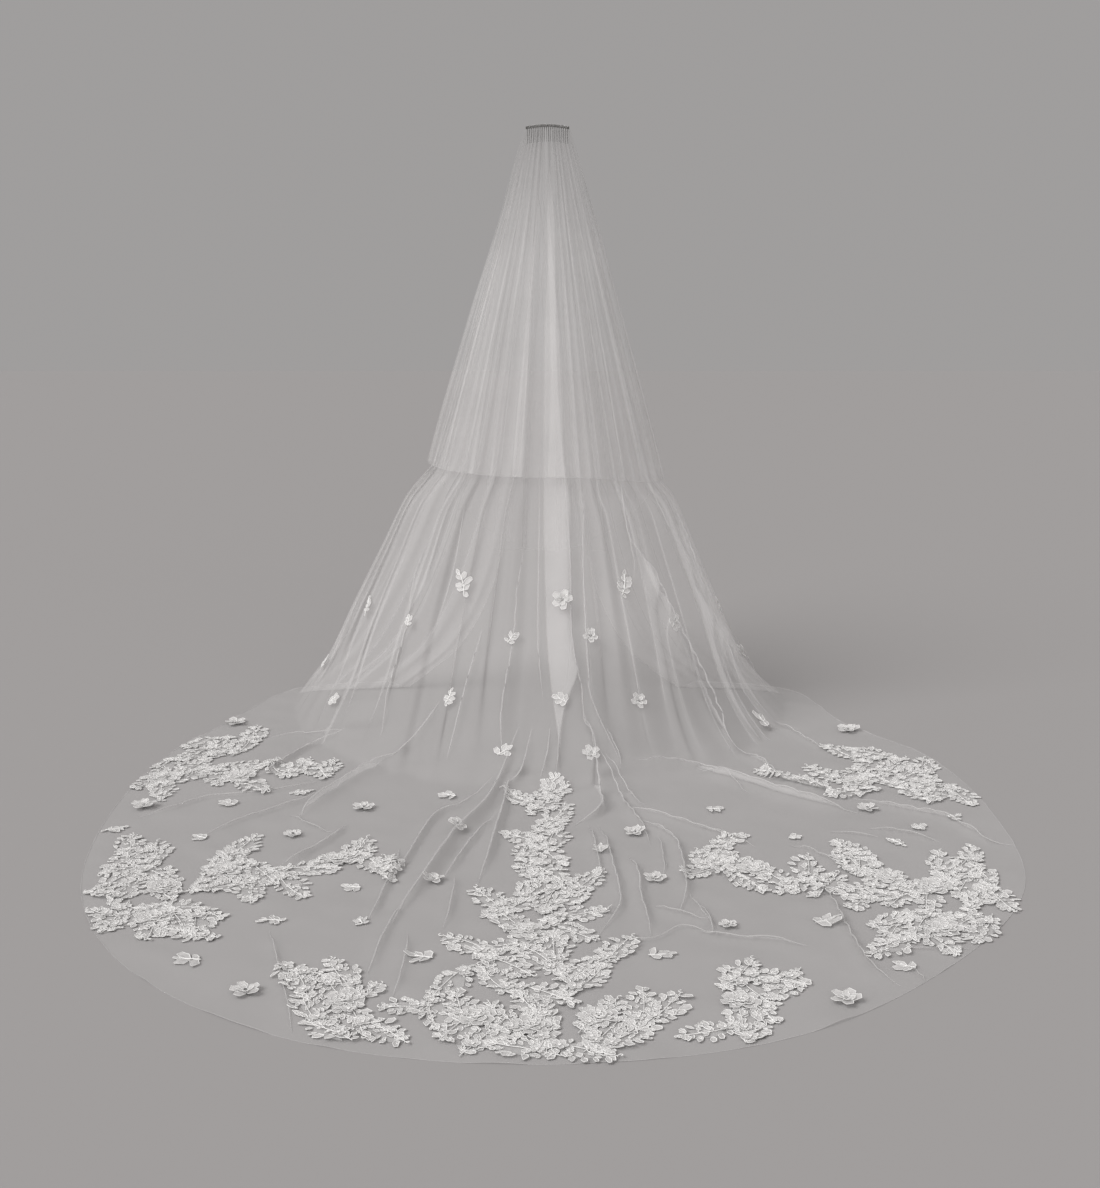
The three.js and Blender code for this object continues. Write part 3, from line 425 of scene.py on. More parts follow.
def fold_shift(points, outs):
    """Heights above the smooth sheet and sideways shifts that the main folds give"""
    height = np.zeros(len(points))
    sideways = np.zeros((len(points), 3))
    below_hem = smooth((-points[:, 2] - FOLDS_START) / FOLDS_FULL)
    for rise, half, lean, route in FOLDS:
        path = smooth_path(route)
        far = FOLD_REACH * half
        near = ((points > path.min(0) - far) & (points < path.max(0) + far)).all(1)
        chosen = np.nonzero(near)[0]
        for part in np.array_split(chosen, len(chosen) // POINTS_AT_A_TIME + 1):
            if not len(part):
                continue
            gaps = points[part, None, :] - path[None]
            squared = (gaps ** 2).sum(-1)
            nearest = squared.argmin(1)
            share = nearest / (len(path) - 1)
            ends = smooth(share / 0.2) * smooth((1 - share) / 0.25)
            crest = np.exp(-squared[np.arange(len(part)), nearest] / half ** 2) * ends
            crest *= below_hem[part]
            heading = unit(np.gradient(path, axis=0))[nearest]
            before, added = height[part], rise * crest
            height[part] = np.maximum(before, added) + 0.25 * np.minimum(before, added)
            sideways[part] += np.cross(outs[part], heading) * (lean * crest)[:, None]
    return height, sideways


def ripples(x, y, z):
    """Soft unevenness of the cloth where it lies on the floor, never below it"""
    draw = np.random.default_rng(5)
    total = np.zeros_like(x)
    for _ in range(7):
        heading, length, phase = draw.uniform(0, 3.14), draw.uniform(80, 210), draw.uniform(0, 6.28)
        along = (x * math.cos(heading) + y * math.sin(heading)) / length * 2 * math.pi
        total += np.sin(along + phase)
    return np.where(z < LYING, 0.8 * np.maximum(total, 0), 0)


# Meshes

def add_object(name, data):
    made = bpy.data.objects.new(name, data)
    bpy.context.scene.collection.objects.link(made)
    return made


def add_piece(name, mesh, materials):
    """A smooth shaded piece of the veil"""
    for material in materials:
        mesh.materials.append(material)
    mesh.polygons.foreach_set("use_smooth", np.ones(len(mesh.polygons), bool))
    mesh.update()
    piece = add_object(name, mesh)
    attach(piece, "root")
    return piece


def add_mesh(name, materials, vertices, faces, kinds=None):
    """A piece from arrays in millimetres, with a material number for each face"""
    mesh = bpy.data.meshes.new(name)
    mesh.from_pydata((vertices * MM).tolist(), [], faces.tolist())
    if kinds is not None:
        mesh.polygons.foreach_set("material_index", kinds.astype(np.int32))
    return add_piece(name, mesh, materials)


def grid_faces(rows, columns):
    low = np.arange(rows * columns).reshape(rows, columns)
    return rows_of(low[:-1, :-1], low[1:, :-1], low[1:, 1:], low[:-1, 1:]).reshape(-1, 4)


def tube(path, radius, sides, closed=False):
    """Vertices and faces of a round cord along a path"""
    ahead = unit(np.roll(path, -1, 0) - np.roll(path, 1, 0) if closed
                 else np.gradient(path, axis=0))
    lead = np.where(np.abs(ahead[:, 2:]) < 0.8, (0, 0, 1), (1, 0, 0))
    aside = unit(np.cross(ahead, lead))
    above = np.cross(aside, ahead)
    turn = np.arange(sides) * 2 * math.pi / sides + math.pi / 4
    ring = (aside[:, None] * np.cos(turn)[None, :, None]
            + above[:, None] * np.sin(turn)[None, :, None])
    vertices = (path[:, None] + ring * np.reshape(radius, (-1, 1, 1))).reshape(-1, 3)
    count = len(path)
    a = np.arange(count if closed else count - 1)
    faces = []
    for side in range(sides):
        other = (side + 1) % sides
        b = (a + 1) % count
        faces.append(rows_of(a * sides + side, b * sides + side,
                             b * sides + other, a * sides + other))
    return vertices, np.concatenate(faces)


class Build:
    """Collects parts of one mesh, with a material number for each face"""

    def __init__(self):
        self.vertices, self.faces, self.kinds, self.count = [], [], [], 0

    def add(self, vertices, faces, kind):
        self.vertices.append(vertices)
        self.faces.append(faces + self.count)
        self.kinds.append(np.full(len(faces), kind))
        self.count += len(vertices)

    def arrays(self):
        return [np.concatenate(part) for part in (self.vertices, self.faces, self.kinds)]


# Materials

def set_inputs(node, **values):
    """Values on a node's own sockets, with _ for a space in their names"""
    for key, value in values.items():
        node.inputs[key.replace("_", " ")].default_value = value


def new_material(name):
    material = bpy.data.materials.new(name)
    material.use_nodes = True
    nodes, links = material.node_tree.nodes, material.node_tree.links
    return material, nodes, links, nodes["Principled BSDF"]


def texture(nodes, links, kind, coords, **inputs):
    node = nodes.new(kind)
    set_inputs(node, **inputs)
    links.new(coords.outputs["Object"], node.inputs["Vector"])
    return node


def clouded_material(name, scale, detail, low, high):
    """A material whose tone wanders from low to high over the surface"""
    material, nodes, links, shader = new_material(name)
    coords = nodes.new("ShaderNodeTexCoord")
    cloudy = texture(nodes, links, "ShaderNodeTexNoise", coords, Scale=scale, Detail=detail)
    tone = nodes.new("ShaderNodeValToRGB")
    for element, position, colour in zip(tone.color_ramp.elements, (0.3, 0.7), (low, high)):
        element.position = position
        element.color = (*colour, 1)
    links.new(cloudy.outputs["Fac"], tone.inputs["Fac"])
    links.new(tone.outputs["Color"], shader.inputs["Base Color"])
    return material, nodes, links, shader, coords, tone


def bump(nodes, links, source, shader, strength, distance):
    node = nodes.new("ShaderNodeBump")
    set_inputs(node, Strength=strength, Distance=distance)
    links.new(source, node.inputs["Height"])
    links.new(node.outputs["Normal"], shader.inputs["Normal"])


def tulle_material(name, alpha, net):
    """Soft net, with painted shade that darkens its colour towards the comb, standing in for the shade
    deep in its gathers there
    """
    material, nodes, links, shader, coords, tone = clouded_material(
        name, 9, 1, (0.80, 0.782, 0.774), (0.88, 0.86, 0.852))
    apart = nodes.new("ShaderNodeSeparateXYZ")
    links.new(coords.outputs["Object"], apart.inputs["Vector"])
    # Painted shade: share of dark grey in the net's colour, 0 from 0.3 m below the comb and full at the
    # comb
    comb_shade_share = nodes.new("ShaderNodeMapRange")
    links.new(apart.outputs["Z"], comb_shade_share.inputs["Value"])
    set_inputs(comb_shade_share, From_Min=-0.3, From_Max=-0.02, To_Min=0, To_Max=1)
    shaded = nodes.new("ShaderNodeMix")
    shaded.data_type = "RGBA"
    # Dark grey of the painted shade at the comb
    shaded.inputs["B"].default_value = (0.5, 0.488, 0.483, 1)
    links.new(comb_shade_share.outputs["Result"], shaded.inputs["Factor"])
    links.new(tone.outputs["Color"], shaded.inputs["A"])
    links.new(shaded.outputs["Result"], shader.inputs["Base Color"])
    if net:
        mesh = texture(nodes, links, "ShaderNodeTexNoise", coords, Scale=700, Detail=0.0)
        bump(nodes, links, mesh.outputs["Fac"], shader, 0.15, 0.0004)
    set_inputs(shader, Roughness=0.7, Specular_IOR_Level=0.3, Sheen_Weight=0.35,
               Sheen_Roughness=0.5, Alpha=alpha)
    return material


def lace_material(name, low, high, threads, strength, alpha):
    """Lace whose tone wanders from low to high, with fine threads"""
    material, nodes, links, shader, coords, _ = clouded_material(name, 160, 4, low, high)
    threads = texture(nodes, links, "ShaderNodeTexWave", coords, Scale=threads,
                      Distortion=3.0, Detail=2.0)
    bump(nodes, links, threads.outputs["Fac"], shader, strength, 0.0006)
    set_inputs(shader, Roughness=0.62, Sheen_Weight=0.25, Sheen_Roughness=0.4, Alpha=alpha)
    return material


def metal_material(name, low, high):
    """Brushed wire with faint stains from low to high"""
    material, nodes, links, shader, coords, _ = clouded_material(name, 240, 5, low, high)
    brushed = texture(nodes, links, "ShaderNodeTexNoise", coords, Scale=1400, Detail=2.0)
    bump(nodes, links, brushed.outputs["Fac"], shader, 0.15, 0.0002)
    set_inputs(shader, Metallic=1, Roughness=0.3)
    return material


# Each of these nets carries the painted shade towards the comb from tulle_material
tulle = tulle_material("soft_tulle", 0.175, True)
upper_tulle = tulle_material("soft_tulle_upper", 0.125, True)
edge_thread = tulle_material("tulle_cut_edge", 0.4, False)
fold_edge = tulle_material("tulle_fold_edge", 0.22, False)
lace_net = lace_material("lace_fill", (0.80, 0.782, 0.77), (0.92, 0.902, 0.89), 900, 0.25, 0.55)
lace_cord = lace_material("lace_cord", (0.90, 0.885, 0.87), (0.98, 0.965, 0.95), 1500, 0.25, 1)
lace_ground = lace_material("lace_ground", (0.80, 0.782, 0.77), (0.90, 0.882, 0.87), 700, 0.2, 0.35)
comb_steel = metal_material("comb_steel", (0.08, 0.078, 0.076), (0.16, 0.156, 0.15))
wire_steel = metal_material("wrap_wire", (0.40, 0.39, 0.38), (0.60, 0.59, 0.58))

# The two tiers

LONG_COLUMNS = 460
LONG_HANG_ROWS = 92
LONG_FLOOR_ROWS = 78
UPPER_COLUMNS = 384
UPPER_ROWS = 76
# Each tier's smooth sheet, its gathers, 1 where they stand out from that sheet
# or -1 where they stand in, and the greatest depth of a gather
LONG = (long_base, gathers(count=44, seed=11, fade_from=0.98, fade_to=1.22, strong=0.66), -1, 8)
UPPER = (upper_base, gathers(count=34, seed=23, fade_from=1.5, fade_to=1.9, strong=0.6), 1, 4)
# The long tier is twice as fine from here down, wherever its folds rise so far
FINE_DOWN = 0.93
FINE_RISE = 0.8


def free_edges(grid):
    """The rim or hem of a tier and its two open edges"""
    return [grid[-1], grid[1:, 0], grid[1:, -1]]


def long_tier():
    down = np.concatenate([np.arange(LONG_HANG_ROWS) / LONG_HANG_ROWS,
                           1 + np.arange(LONG_FLOOR_ROWS + 1) / LONG_FLOOR_ROWS])[:, None]
    around, down = np.broadcast_arrays(np.linspace(-1, 1, LONG_COLUMNS)[None], down)
    points, outs = gathered(LONG, around, down)
    points[..., 2] = np.maximum(points[..., 2], LOWEST)
    points, outs = points.reshape(-1, 3), outs.reshape(-1, 3)
    mesh = bpy.data.meshes.new("long_tier_tulle")
    mesh.from_pydata(points.tolist(), [], grid_faces(*around.shape).tolist())
    work = bmesh.new()
    work.from_mesh(mesh)
    work.verts.ensure_lookup_table()
    keep = work.verts.layers.float_vector.new("outs")
    for vertex, out in zip(work.verts, outs):
        vertex[keep] = out
    height, _ = fold_shift(points, outs)
    fine = (down.reshape(-1) > FINE_DOWN) & (height > FINE_RISE)
    edges = [edge for edge in work.edges
             if fine[edge.verts[0].index] and fine[edge.verts[1].index]]
    bmesh.ops.subdivide_edges(work, edges=edges, cuts=1, use_grid_fill=True)
    work.verts.ensure_lookup_table()
    points = np.array([vertex.co[:] for vertex in work.verts])
    outs = unit(np.array([vertex[keep][:] for vertex in work.verts]))
    height, sideways = fold_shift(points, outs)
    moved = points + sideways + outs * height[:, None]
    moved[:, 2] = np.maximum(moved[:, 2] + ripples(*points.T), LOWEST)
    for vertex, place in zip(work.verts, moved * MM):
        vertex.co = place
    work.to_mesh(mesh)
    work.free()
    piece = add_piece("long_tier_tulle", mesh, [tulle])
    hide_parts("long_tier")
    return piece, free_edges(moved[:around.size].reshape(*around.shape, 3))


def upper_tier():
    around, down = np.broadcast_arrays(np.linspace(-1, 1, UPPER_COLUMNS)[None],
                                       np.linspace(0, 1, UPPER_ROWS)[:, None])
    points, _ = gathered(UPPER, around, down)
    piece = add_mesh("upper_tier_tulle", [upper_tulle], points.reshape(-1, 3),
                     grid_faces(*around.shape))
    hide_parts("upper_tier")
    return piece, free_edges(points)


long_piece, long_cut = long_tier()
upper_piece, upper_cut = upper_tier()


def thread_piece(name, made, material):
    piece = add_mesh(name, [material], *made.arrays())
    return piece


def cut_edge(name, paths, radius):
    made = Build()
    for path in paths:
        made.add(*tube(path, radius, 3), 0)
    return thread_piece(name, made, edge_thread)


train_edge = cut_edge("train_cut_edge", long_cut, 0.5)
upper_edge = cut_edge("upper_cut_edge", upper_cut, 0.25)

# A gather covers itself where its lean changes faster than its width, and has
# a rolled edge there if it does so over enough rows; edges lie just off the net
TURNS_BACK = 1.02
FEWEST_ROWS = 5
EDGE_LIFT = 0.3
THINNEST_EDGE = 0.08


def gather_edges(made, tier, downs, thickness, seed):
    """Rolled edges where each gather turns back under itself"""
    draw = np.random.default_rng(seed)
    table = tier[1]
    edges = table["edges"]
    for place in range(len(edges) - 1):
        change = 2 * math.pi * lean_at(table, place, downs)
        covers = np.abs(change) > TURNS_BACK
        rows, change = downs[covers], change[covers]
        strong = draw.uniform(0.35, 1.0) ** 1.5
        if len(rows) < FEWEST_ROWS:
            continue
        turn = np.arccos(-1 / change) / (2 * math.pi)
        radius = thickness * strong * smooth((np.abs(change) - 1) / 0.3) * smooth(rows / 0.06)
        for share in (turn, 1 - turn):
            points, outs = gathered(tier, mix(edges[place], edges[place + 1], share), rows)
            points = points + outs * EDGE_LIFT
            points[:, 2] = np.maximum(points[:, 2], LOWEST_CORD)
            made.add(*tube(points, np.maximum(radius, THINNEST_EDGE), 3), 0)


def outward(points):
    """Direction away from the wearer at points on the smooth long tier"""
    x, y, z = points.T
    slope = rows_of(oval(x + 1, y, -z) - oval(x - 1, y, -z),
                    oval(x, y + 1, -z) - oval(x, y - 1, -z),
                    oval(x, y, -z - 1) - oval(x, y, -z + 1))
    return unit(np.where(z[:, None] < LYING + 1, (0.0, 0, 1), slope))


def crest_edges(made):
    """Rolled edges along the crests of the main folds, thicker on high ones"""
    for rise, _, _, route in FOLDS:
        path = smooth_path(route, 11)
        outs = outward(path)
        height, sideways = fold_shift(path, outs)
        points = path + sideways + outs * (height + EDGE_LIFT)[:, None]
        points[:, 2] = np.maximum(points[:, 2] + ripples(*path.T), LOWEST_CORD)
        swell = 0.15 + np.sin(math.pi * np.linspace(0, 1, len(path))) ** 0.6
        made.add(*tube(points, swell * mix(0.8, 2.4, min(rise, 20) / 20), 3), 0)


folded = Build()
gather_edges(folded, LONG, np.linspace(0.05, 1.2, 82), thickness=1.0, seed=31)
crest_edges(folded)
long_folds = thread_piece("long_tier_fold_edges", folded, fold_edge)
folded = Build()
gather_edges(folded, UPPER, np.linspace(0.05, 1, 58), thickness=0.8, seed=32)
upper_folds = thread_piece("upper_tier_fold_edges", folded, fold_edge)

# Lace: patterns are made flat, in millimetres, with heights above the net

LACE_CLEARANCE = 1.1
LOWEST_LACE = 0.2
CORD = 0.85
STEM = 0.75
MOTIF_STEM = 1.3
ROSE_RADIUS = 32
# A twig below this width is a bare cord; the others have a leaf for each such
# area, and two at each such step along their edges
THIN_TWIG = 20
LEAF_AREA = 108
EDGE_STEP = 17
# Widths at foot, middle and tip, and the number of different shapes of a kind
BLADE_WIDTHS = {"leaf": (.2, 1, .16), "petal": (.3, 1, .6)}
SHAPES = 6
# Rings of a rose: foot and length as shares of its radius, petals, height, tilt
ROSE_RINGS = ((0.40, 0.62, 7, 1.4, 0.06), (0.24, 0.46, 6, 2.2, 0.14), (0.08, 0.34, 4, 3, 0.28))
# Numbers of the materials in a pattern
NET, THREAD, GROUND = 0, 1, 2
# Small motifs for a size of 1: stem, then place, heading and length of leaves
MOTIFS = {
    "leaf": (((0, -.45), (0, 0), (0, .2)),
             ((0, -.1, .75, .5), (0, -.1, 2.4, .5), (0, .08, 1.57, .44), (0, -.35, .5, .42),
              (0, -.35, 2.65, .42))),
    "twig": (((0, -.5), (.04, -.2), (0, .15), (-.08, .4)),
             ((-.08, .3, 1.7, .25), (0, .1, .9, .3), (0, .1, 2.3, .28), (.02, -.15, .6, .42),
              (.02, -.15, 2.6, .3), (0, -.35, .4, .36), (0, -.35, 2.7, .3),
              (0, -.45, -.9, .25))),
}


def turned(x, y, heading, place=(0, 0)):
    """Places on a plane after a turn and a move"""
    c, s = math.cos(heading), math.sin(heading)
    return place[0] + x * c - y * s, place[1] + x * s + y * c


def leaf_shape(kind, draw):
    """Unit leaf or petal: a cupped, ruffled blade with a cord round it"""
    along, across = np.array([0, 0.5, 1])[:, None], np.linspace(-1, 1, 3)[None]
    ruffle = draw.uniform(-1, 1, (3, 3)) * 0.035
    cup, arch = draw.uniform(0.0, 0.10), draw.uniform(0.0, 0.06)
    blade = np.zeros((3, 3, 3))
    blade[..., 0] = along
    blade[..., 1] = across * np.array(BLADE_WIDTHS[kind])[:, None] * 0.5
    blade[..., 2] = cup * across ** 2 * 0.5 + arch * np.sin(along * 3.1) + ruffle
    loop = np.concatenate([blade[:, 0], blade[-1, 1:2], blade[::-1, 2], blade[0, 1:2]])
    return blade.reshape(-1, 3), loop


def shaped(points, place, heading, length, width, roll, tilt, height):
    """Turns a unit shape into its place on the flat pattern"""
    x, y, z = (points * (length, width, 0.5 * (length + width))).T
    y, z = turned(y, z, roll)
    x, z = turned(x, z, tilt)
    x, y = turned(x, y, heading, place)
    return rows_of(x, y, np.maximum(z + height, LOWEST_LACE))


class Lace(Build):
    """A flat pattern of corded leaves, petals, roses and curls"""

    def __init__(self, seed):
        super().__init__()
        self.draw = np.random.default_rng(seed)
        self.shapes = {kind: [leaf_shape(kind, self.draw) for _ in range(SHAPES)]
                       for kind in BLADE_WIDTHS}

    def cord(self, path, radius, sides=4, closed=False):
        self.add(*tube(path, radius, sides, closed), THREAD)

    def blade(self, kind, place, heading, length, width, tilt, height, cord):
        blade, loop = self.shapes[kind][self.draw.integers(SHAPES)]
        values = (place, heading, length, width, self.draw.uniform(-0.2, 0.2), tilt, height)
        self.add(shaped(blade, *values), grid_faces(3, 3), NET)
        self.cord(shaped(loop, *values), cord, 3, closed=True)

    def leaf(self, place, heading, length):
        draw = self.draw
        length *= draw.uniform(0.85, 1.15)
        self.blade(draw.choice(["leaf", "petal"]), place, heading + draw.normal(0, 0.25), length,
                   length * draw.uniform(0.5, 0.8), draw.uniform(0.0, 0.08),
                   draw.uniform(0.3, 1.1), CORD * draw.uniform(0.8, 1.3))

    def curl(self, place, heading, size, side):
        turn = np.linspace(0, 1, 10)
        angle = heading + side * (turn * 5.2 - 0.5)
        radius = size * (1 - 0.72 * turn)
        x, y = turned(0.9 * size, 0, heading, place)
        self.cord(rows_of(x - radius * np.cos(angle), y - radius * np.sin(angle),
                          1.6 + 2.4 * turn), CORD)

    def stem(self, points, radius):
        self.cord(rows_of(*points.T, 1.8), radius)

    def blossom(self, place, radius, petals, rise):
        """A small flower whose petals stand up from the cloth"""
        draw = self.draw
        start = draw.uniform(0, 6.28)
        for petal in range(petals):
            heading = start + petal * 2 * math.pi / petals + draw.normal(0, 0.12)
            self.blade("petal", turned(1.5, 0, heading, place), heading, radius, radius * 0.8,
                       rise * draw.uniform(0.7, 1.3), 2.6, CORD * 0.85)
        knot = np.arange(6)
        self.cord(rows_of(place[0] + 2 * np.cos(knot), place[1] + 2 * np.sin(knot), 4.6),
                  1.3, closed=True)

    def rose(self, place, radius):
        """Rings of cupped petals with rings of cord, raised towards the middle"""
        draw = self.draw
        for start, length, petals, height, rise in ROSE_RINGS:
            turn = draw.uniform(0, 6.28)
            for petal in range(petals):
                heading = turn + petal * 2 * math.pi / petals
                self.blade("petal", turned(radius * start, 0, heading, place), heading,
                           radius * length, radius * (start + length) * 4.6 / petals,
                           rise * draw.uniform(0.8, 1.2), height, CORD)
        angle = np.linspace(0, 2 * math.pi, 18, endpoint=False)
        for share in (0.22, 0.44):
            wobble = radius * share * (1 + 0.12 * np.sin(angle * 5 + share * 20))
            self.cord(rows_of(place[0] + wobble * np.cos(angle),
                              place[1] + wobble * np.sin(angle), 6.2 - 6 * share),
                      CORD, closed=True)

    def ground(self, place, heading, length, width):
        """Patch of dense netting under the leaves, leaf shaped with a ragged edge"""
        here = np.arange(18)
        after, even = (here + 1) % 18, here[::2]
        turn = here * math.pi / 9
        ring = rows_of(-np.cos(turn), np.sin(turn) * (1 - 0.25 * np.cos(turn)))
        ring = ring * self.draw.uniform(0.6, 1.0, 18)[:, None]
        flat = np.concatenate([[(0, 0)], ring * 0.55, ring]) * (length / 2, width / 2)
        x, y = turned(flat[:, 0] + length / 2, flat[:, 1], heading, place)
        fan = rows_of(0, 1 + even, 1 + (even + 1) % 18, 1 + (even + 2) % 18)
        band = rows_of(1 + here, 19 + here, 19 + after, 1 + after)
        self.add(rows_of(x, y, LOWEST_LACE), np.concatenate([fan, band]), GROUND)

    def twig(self, x0, y0, x1, y1, width=TWIG_WIDTH):
        """A leaf shaped twig of small leaves, with longer ones along its edges"""
        draw = self.draw
        length, heading = math.hypot(x1 - x0, y1 - y0), math.atan2(y1 - y0, x1 - x0)
        share = np.linspace(0, 1, 7)
        bow = draw.uniform(-0.07, 0.07) * length * np.sin(math.pi * share)
        path = rows_of(*turned(share * length, bow, heading, (x0, y0)))
        self.stem(path, STEM)
        if width < THIN_TWIG:
            return
        self.ground((x0, y0), heading, length, width * 0.84)
        for _ in range(int(length * width / 2 / LEAF_AREA)):
            at, across = draw.uniform(0.02, 0.94), draw.uniform(-1, 1)
            half = width * 0.46 * min(at / 0.5, (1.05 - at) / 0.5, 1) * across
            self.leaf(turned(at * length, half, heading, (x0, y0)),
                      heading + across * 1.1 + draw.normal(0, 0.5), draw.uniform(8, 15))
        for at in np.arange(0.12, 1, EDGE_STEP / length):
            half = width / 2 * min(at / 0.5, (1.1 - at) / 0.5, 1) - 5
            for side in (-1, 1):
                self.leaf(turned(at * length, side * half, heading, (x0, y0)),
                          heading + side * draw.uniform(0.4, 1.2), draw.uniform(10, 18))
        self.leaf(path[-2], heading, 16)


def surface_height(x, y):
    """Height of the smooth long tier above the floor over a place on the plan"""
    low, high = np.zeros_like(x), np.full_like(x, FLOOR_DROP)
    for _ in range(22):
        middle = (low + high) / 2
        inside = oval(x, y, middle) < 1
        high = np.where(inside, middle, high)
        low = np.where(inside, low, middle)
    return FLOOR_DROP - (low + high) / 2


def laid(vertices):
    """Lays a flat pattern on the long tier"""
    x, y, z = vertices.T
    ground = rows_of(x, y, surface_height(x, y) + LOWEST)
    height, _ = fold_shift(ground, np.tile((0.0, 0, 1), (len(x), 1)))
    ground[:, 2] += height + ripples(*ground.T) + z + LACE_CLEARANCE
    return ground


def spray(name, seed):
    twigs, roses = SPRAYS[name]
    made = Lace(seed)
    for x0, y0, x1, y1, *width in twigs:
        made.twig(x0, y0, x1, y1, *width)
        heading = math.atan2(y1 - y0, x1 - x0)
        for place, size in ((1, 5.5), (0.66, 4)):
            made.curl((mix(x0, x1, place), mix(y0, y1, place)),
                      heading + made.draw.normal(0, 1), size, made.draw.choice([-1, 1]))
        made.blossom((mix(x0, x1, 0.3), mix(y0, y1, 0.3)), made.draw.uniform(8, 12), 5, 0.2)
    for place in roses:
        made.rose(place, ROSE_RADIUS)
    vertices, faces, kinds = made.arrays()
    piece = add_mesh(name + "_applique", [lace_net, lace_cord, lace_ground], laid(vertices),
                     faces, kinds)
    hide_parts(name)
    return piece


lace_pieces = [spray(name, 100 + index) for index, name in enumerate(SPRAYS)]


def sprig_pattern(kind, size, seed):
    made = Lace(seed)
    if kind == "flower":
        made.blossom((0, 0), size * 0.5, 5, 0.16)
        made.blossom((0, 0), size * 0.3, 4, 0.4)
    else:
        stem, leaves = MOTIFS[kind]
        made.stem(np.array(stem) * size, MOTIF_STEM)
        for x, y, heading, length in leaves:
            made.leaf((x * size, y * size), heading, length * size)
    return made.arrays()


def sprig_piece(name, vertices, faces, kinds):
    piece = add_mesh(name + "_applique", [lace_net, lace_cord], vertices, faces, kinds)
    return piece


def around_at(x, drop):
    """Where round the long tier's front a place across it lies"""
    low, high = -0.55, 0.6
    for _ in range(30):
        middle = (low + high) / 2
        if outline_point(LONG_SECTIONS, middle, drop)[0] < x:
            low = middle
        else:
            high = middle
    return (low + high) / 2


def hanging_sprig(x, drop, kind, size, turn, seed, name):
    vertices, faces, kinds = sprig_pattern(kind, size, seed)
    around = around_at(x, drop)
    origin = outline_point(LONG_SECTIONS, around, drop)
    aside = unit(outline_point(LONG_SECTIONS, around + 0.01, drop) - origin)
    above = unit(outline_point(LONG_SECTIONS, around, drop - 10) - origin)
    out = unit(np.cross(aside, above))
    up = np.cross(out, aside)
    height, _ = fold_shift(origin[None], out[None])
    x, y = turned(*vertices[:, :2].T, math.radians(turn))
    placed = (origin + x[:, None] * aside + y[:, None] * up
              + (vertices[:, 2:] + height[0] + LACE_CLEARANCE) * out)
    return sprig_piece(name, placed, faces, kinds)


def floor_sprig(x, y, kind, size, turn, seed, name):
    vertices, faces, kinds = sprig_pattern(kind, size, seed)
    x, y = turned(*vertices[:, :2].T, math.radians(turn), (x, y))
    return sprig_piece(name, laid(rows_of(x, y, vertices[:, 2])), faces, kinds)


for index, row in enumerate(HANGING_SPRIGS):
    name = f"hanging_sprig_{index + 1}"
    lace_pieces.append(hanging_sprig(*row, 200 + index, name))
    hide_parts(name)
for index, row in enumerate(FLOOR_SPRIGS):
    name = f"floor_sprig_{index + 1}"
    lace_pieces.append(floor_sprig(*row, 300 + index, name))
    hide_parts(name)
# Three of the smallest motifs are made here only
lace_pieces.append(hanging_sprig(-322, 1140, "leaf", 30, 10, 401, "small_motif_1"))
lace_pieces.append(floor_sprig(498, -970, "leaf", 30, -60, 402, "small_motif_2"))
lace_pieces.append(floor_sprig(322, -1380, "flower", 30, 20, 403, "small_motif_3"))

# Comb: its bar's length and rise, its teeth, and how much of the bar is wound

COMB_LENGTH = 104
COMB_RISE = 6
TEETH = 20
WOUND = 96
POINTS_A_TURN = 14


def wrap(name, across, above, thickness, turns, phase, material, slot):
    """A wire or thread wound round the comb's bar, so far across and above it"""
    share = np.linspace(-0.5, 0.5, int(turns * POINTS_A_TURN))
    x = share * WOUND
    angle = share * turns * 2 * math.pi + phase
    arch = COMB_RISE * (1 - (2 * x / COMB_LENGTH) ** 2)
    path = rows_of(x, across * np.cos(angle), arch + above * np.sin(angle))
    piece = add_mesh(name, [material], *tube(path, thickness, 5))


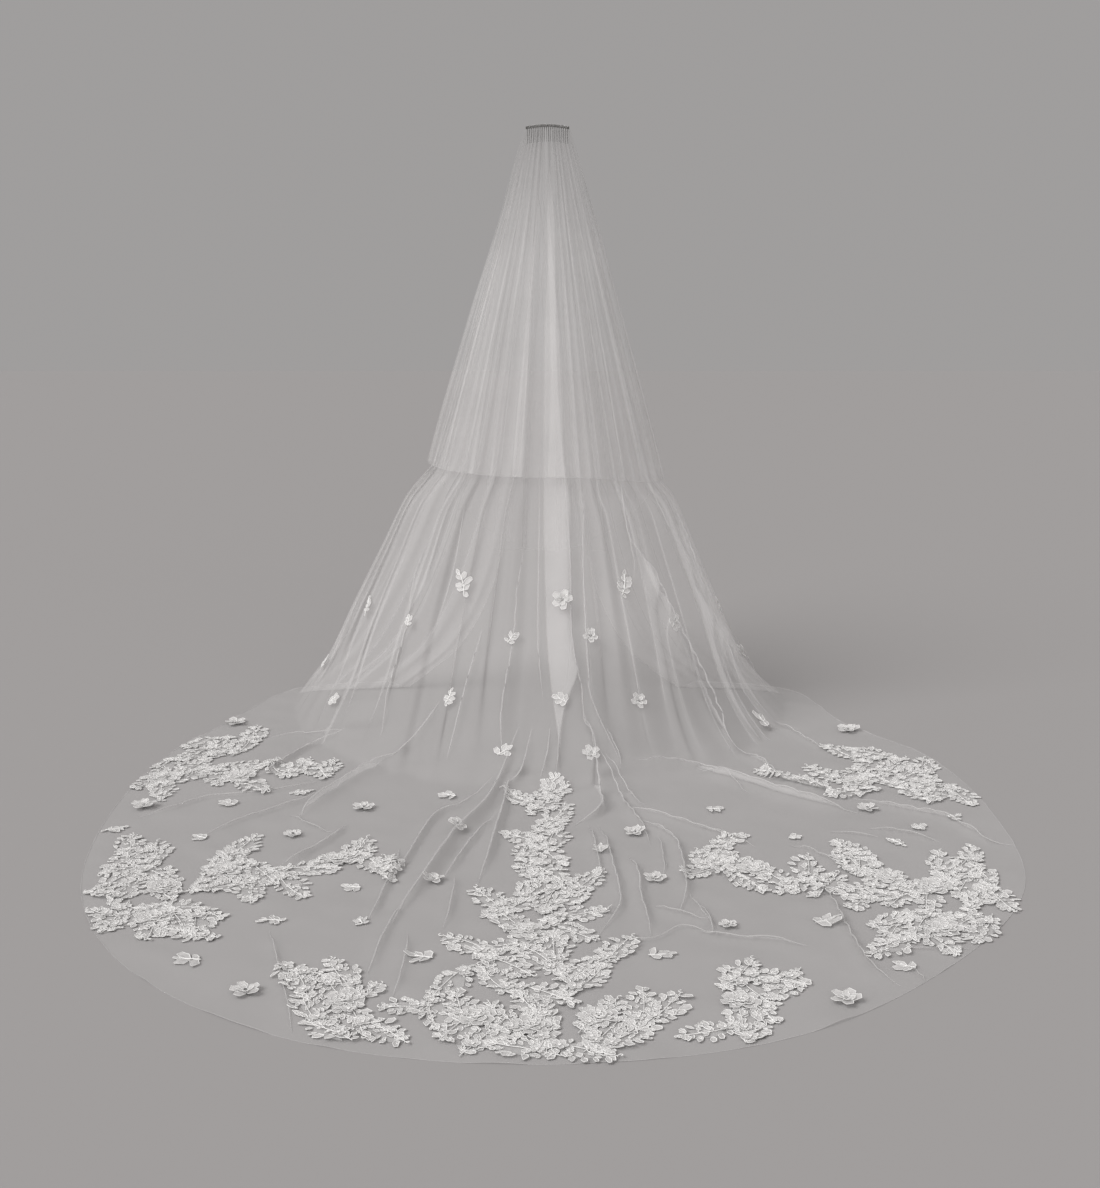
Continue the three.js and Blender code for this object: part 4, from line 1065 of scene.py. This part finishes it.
wrap("comb_wrap_wire", 2.3, 3.7, 0.45, TEETH - 1, 0, wire_steel, "comb_metal")
wrap("gather_stitches", 2.7, 4.0, 0.22, (TEETH - 1) * 1.5, 1.2, lace_cord, "lace")

for comb_slot in bpy.data.objects["hair_comb"].material_slots:
    comb_slot.material = comb_steel

# Floor, lights and camera, in metres

FLOOR = -FLOOR_DROP * MM
FLOOR_X = (-8, 8)
FLOOR_Y = (-9, 8)

paper, _, _, paper_shader = new_material("grey_paper")
set_inputs(paper_shader, Base_Color=(0.352, 0.339, 0.336, 1), Roughness=0.9,
           Specular_IOR_Level=0.1)
floor_mesh = bpy.data.meshes.new("paper_floor")
floor_mesh.from_pydata([(x, y, FLOOR) for y in FLOOR_Y for x in FLOOR_X], [], [(0, 1, 3, 2)])
floor_mesh.materials.append(paper)
add_object("paper_floor", floor_mesh)


def soft_light(name, place, target, spread, strength):
    """Even light from one side, as wide as so many degrees"""
    light = bpy.data.lights.new(name, "SUN")
    light.angle = math.radians(spread)
    light.energy = strength
    lamp = add_object(name, light)
    lamp.location = place
    lamp.rotation_euler = (Vector(target) - Vector(place)).to_track_quat("-Z", "Y").to_euler()


soft_light("key", (-3.2, -2.6, 3.2), (0, -0.6, -0.9), 38, 2.6)
soft_light("fill", (2.6, -5.3, 0.9), (0.1, 0, -0.4), 60, 0.6)

scene = bpy.context.scene
world = bpy.data.worlds.new("studio")
world.use_nodes = True
set_inputs(world.node_tree.nodes["Background"], Color=(0.5, 0.486, 0.482, 1), Strength=0.70)
scene.world = world
scene.view_settings.view_transform = "Standard"
# Enough to see through every layer of the net
scene.cycles.transparent_max_bounces = 24
scene.cycles.max_bounces = 3
scene.cycles.diffuse_bounces = 1

camera = bpy.data.cameras.new("camera")
camera.sensor_fit = "HORIZONTAL"
camera.sensor_width = 36
camera.lens = 53.2
camera_object = add_object("camera", camera)
camera_object.location = (0.006, -4.04, -0.155)
camera_object.rotation_euler = (math.radians(90 - 13.8), 0, 0)
scene.camera = camera_object
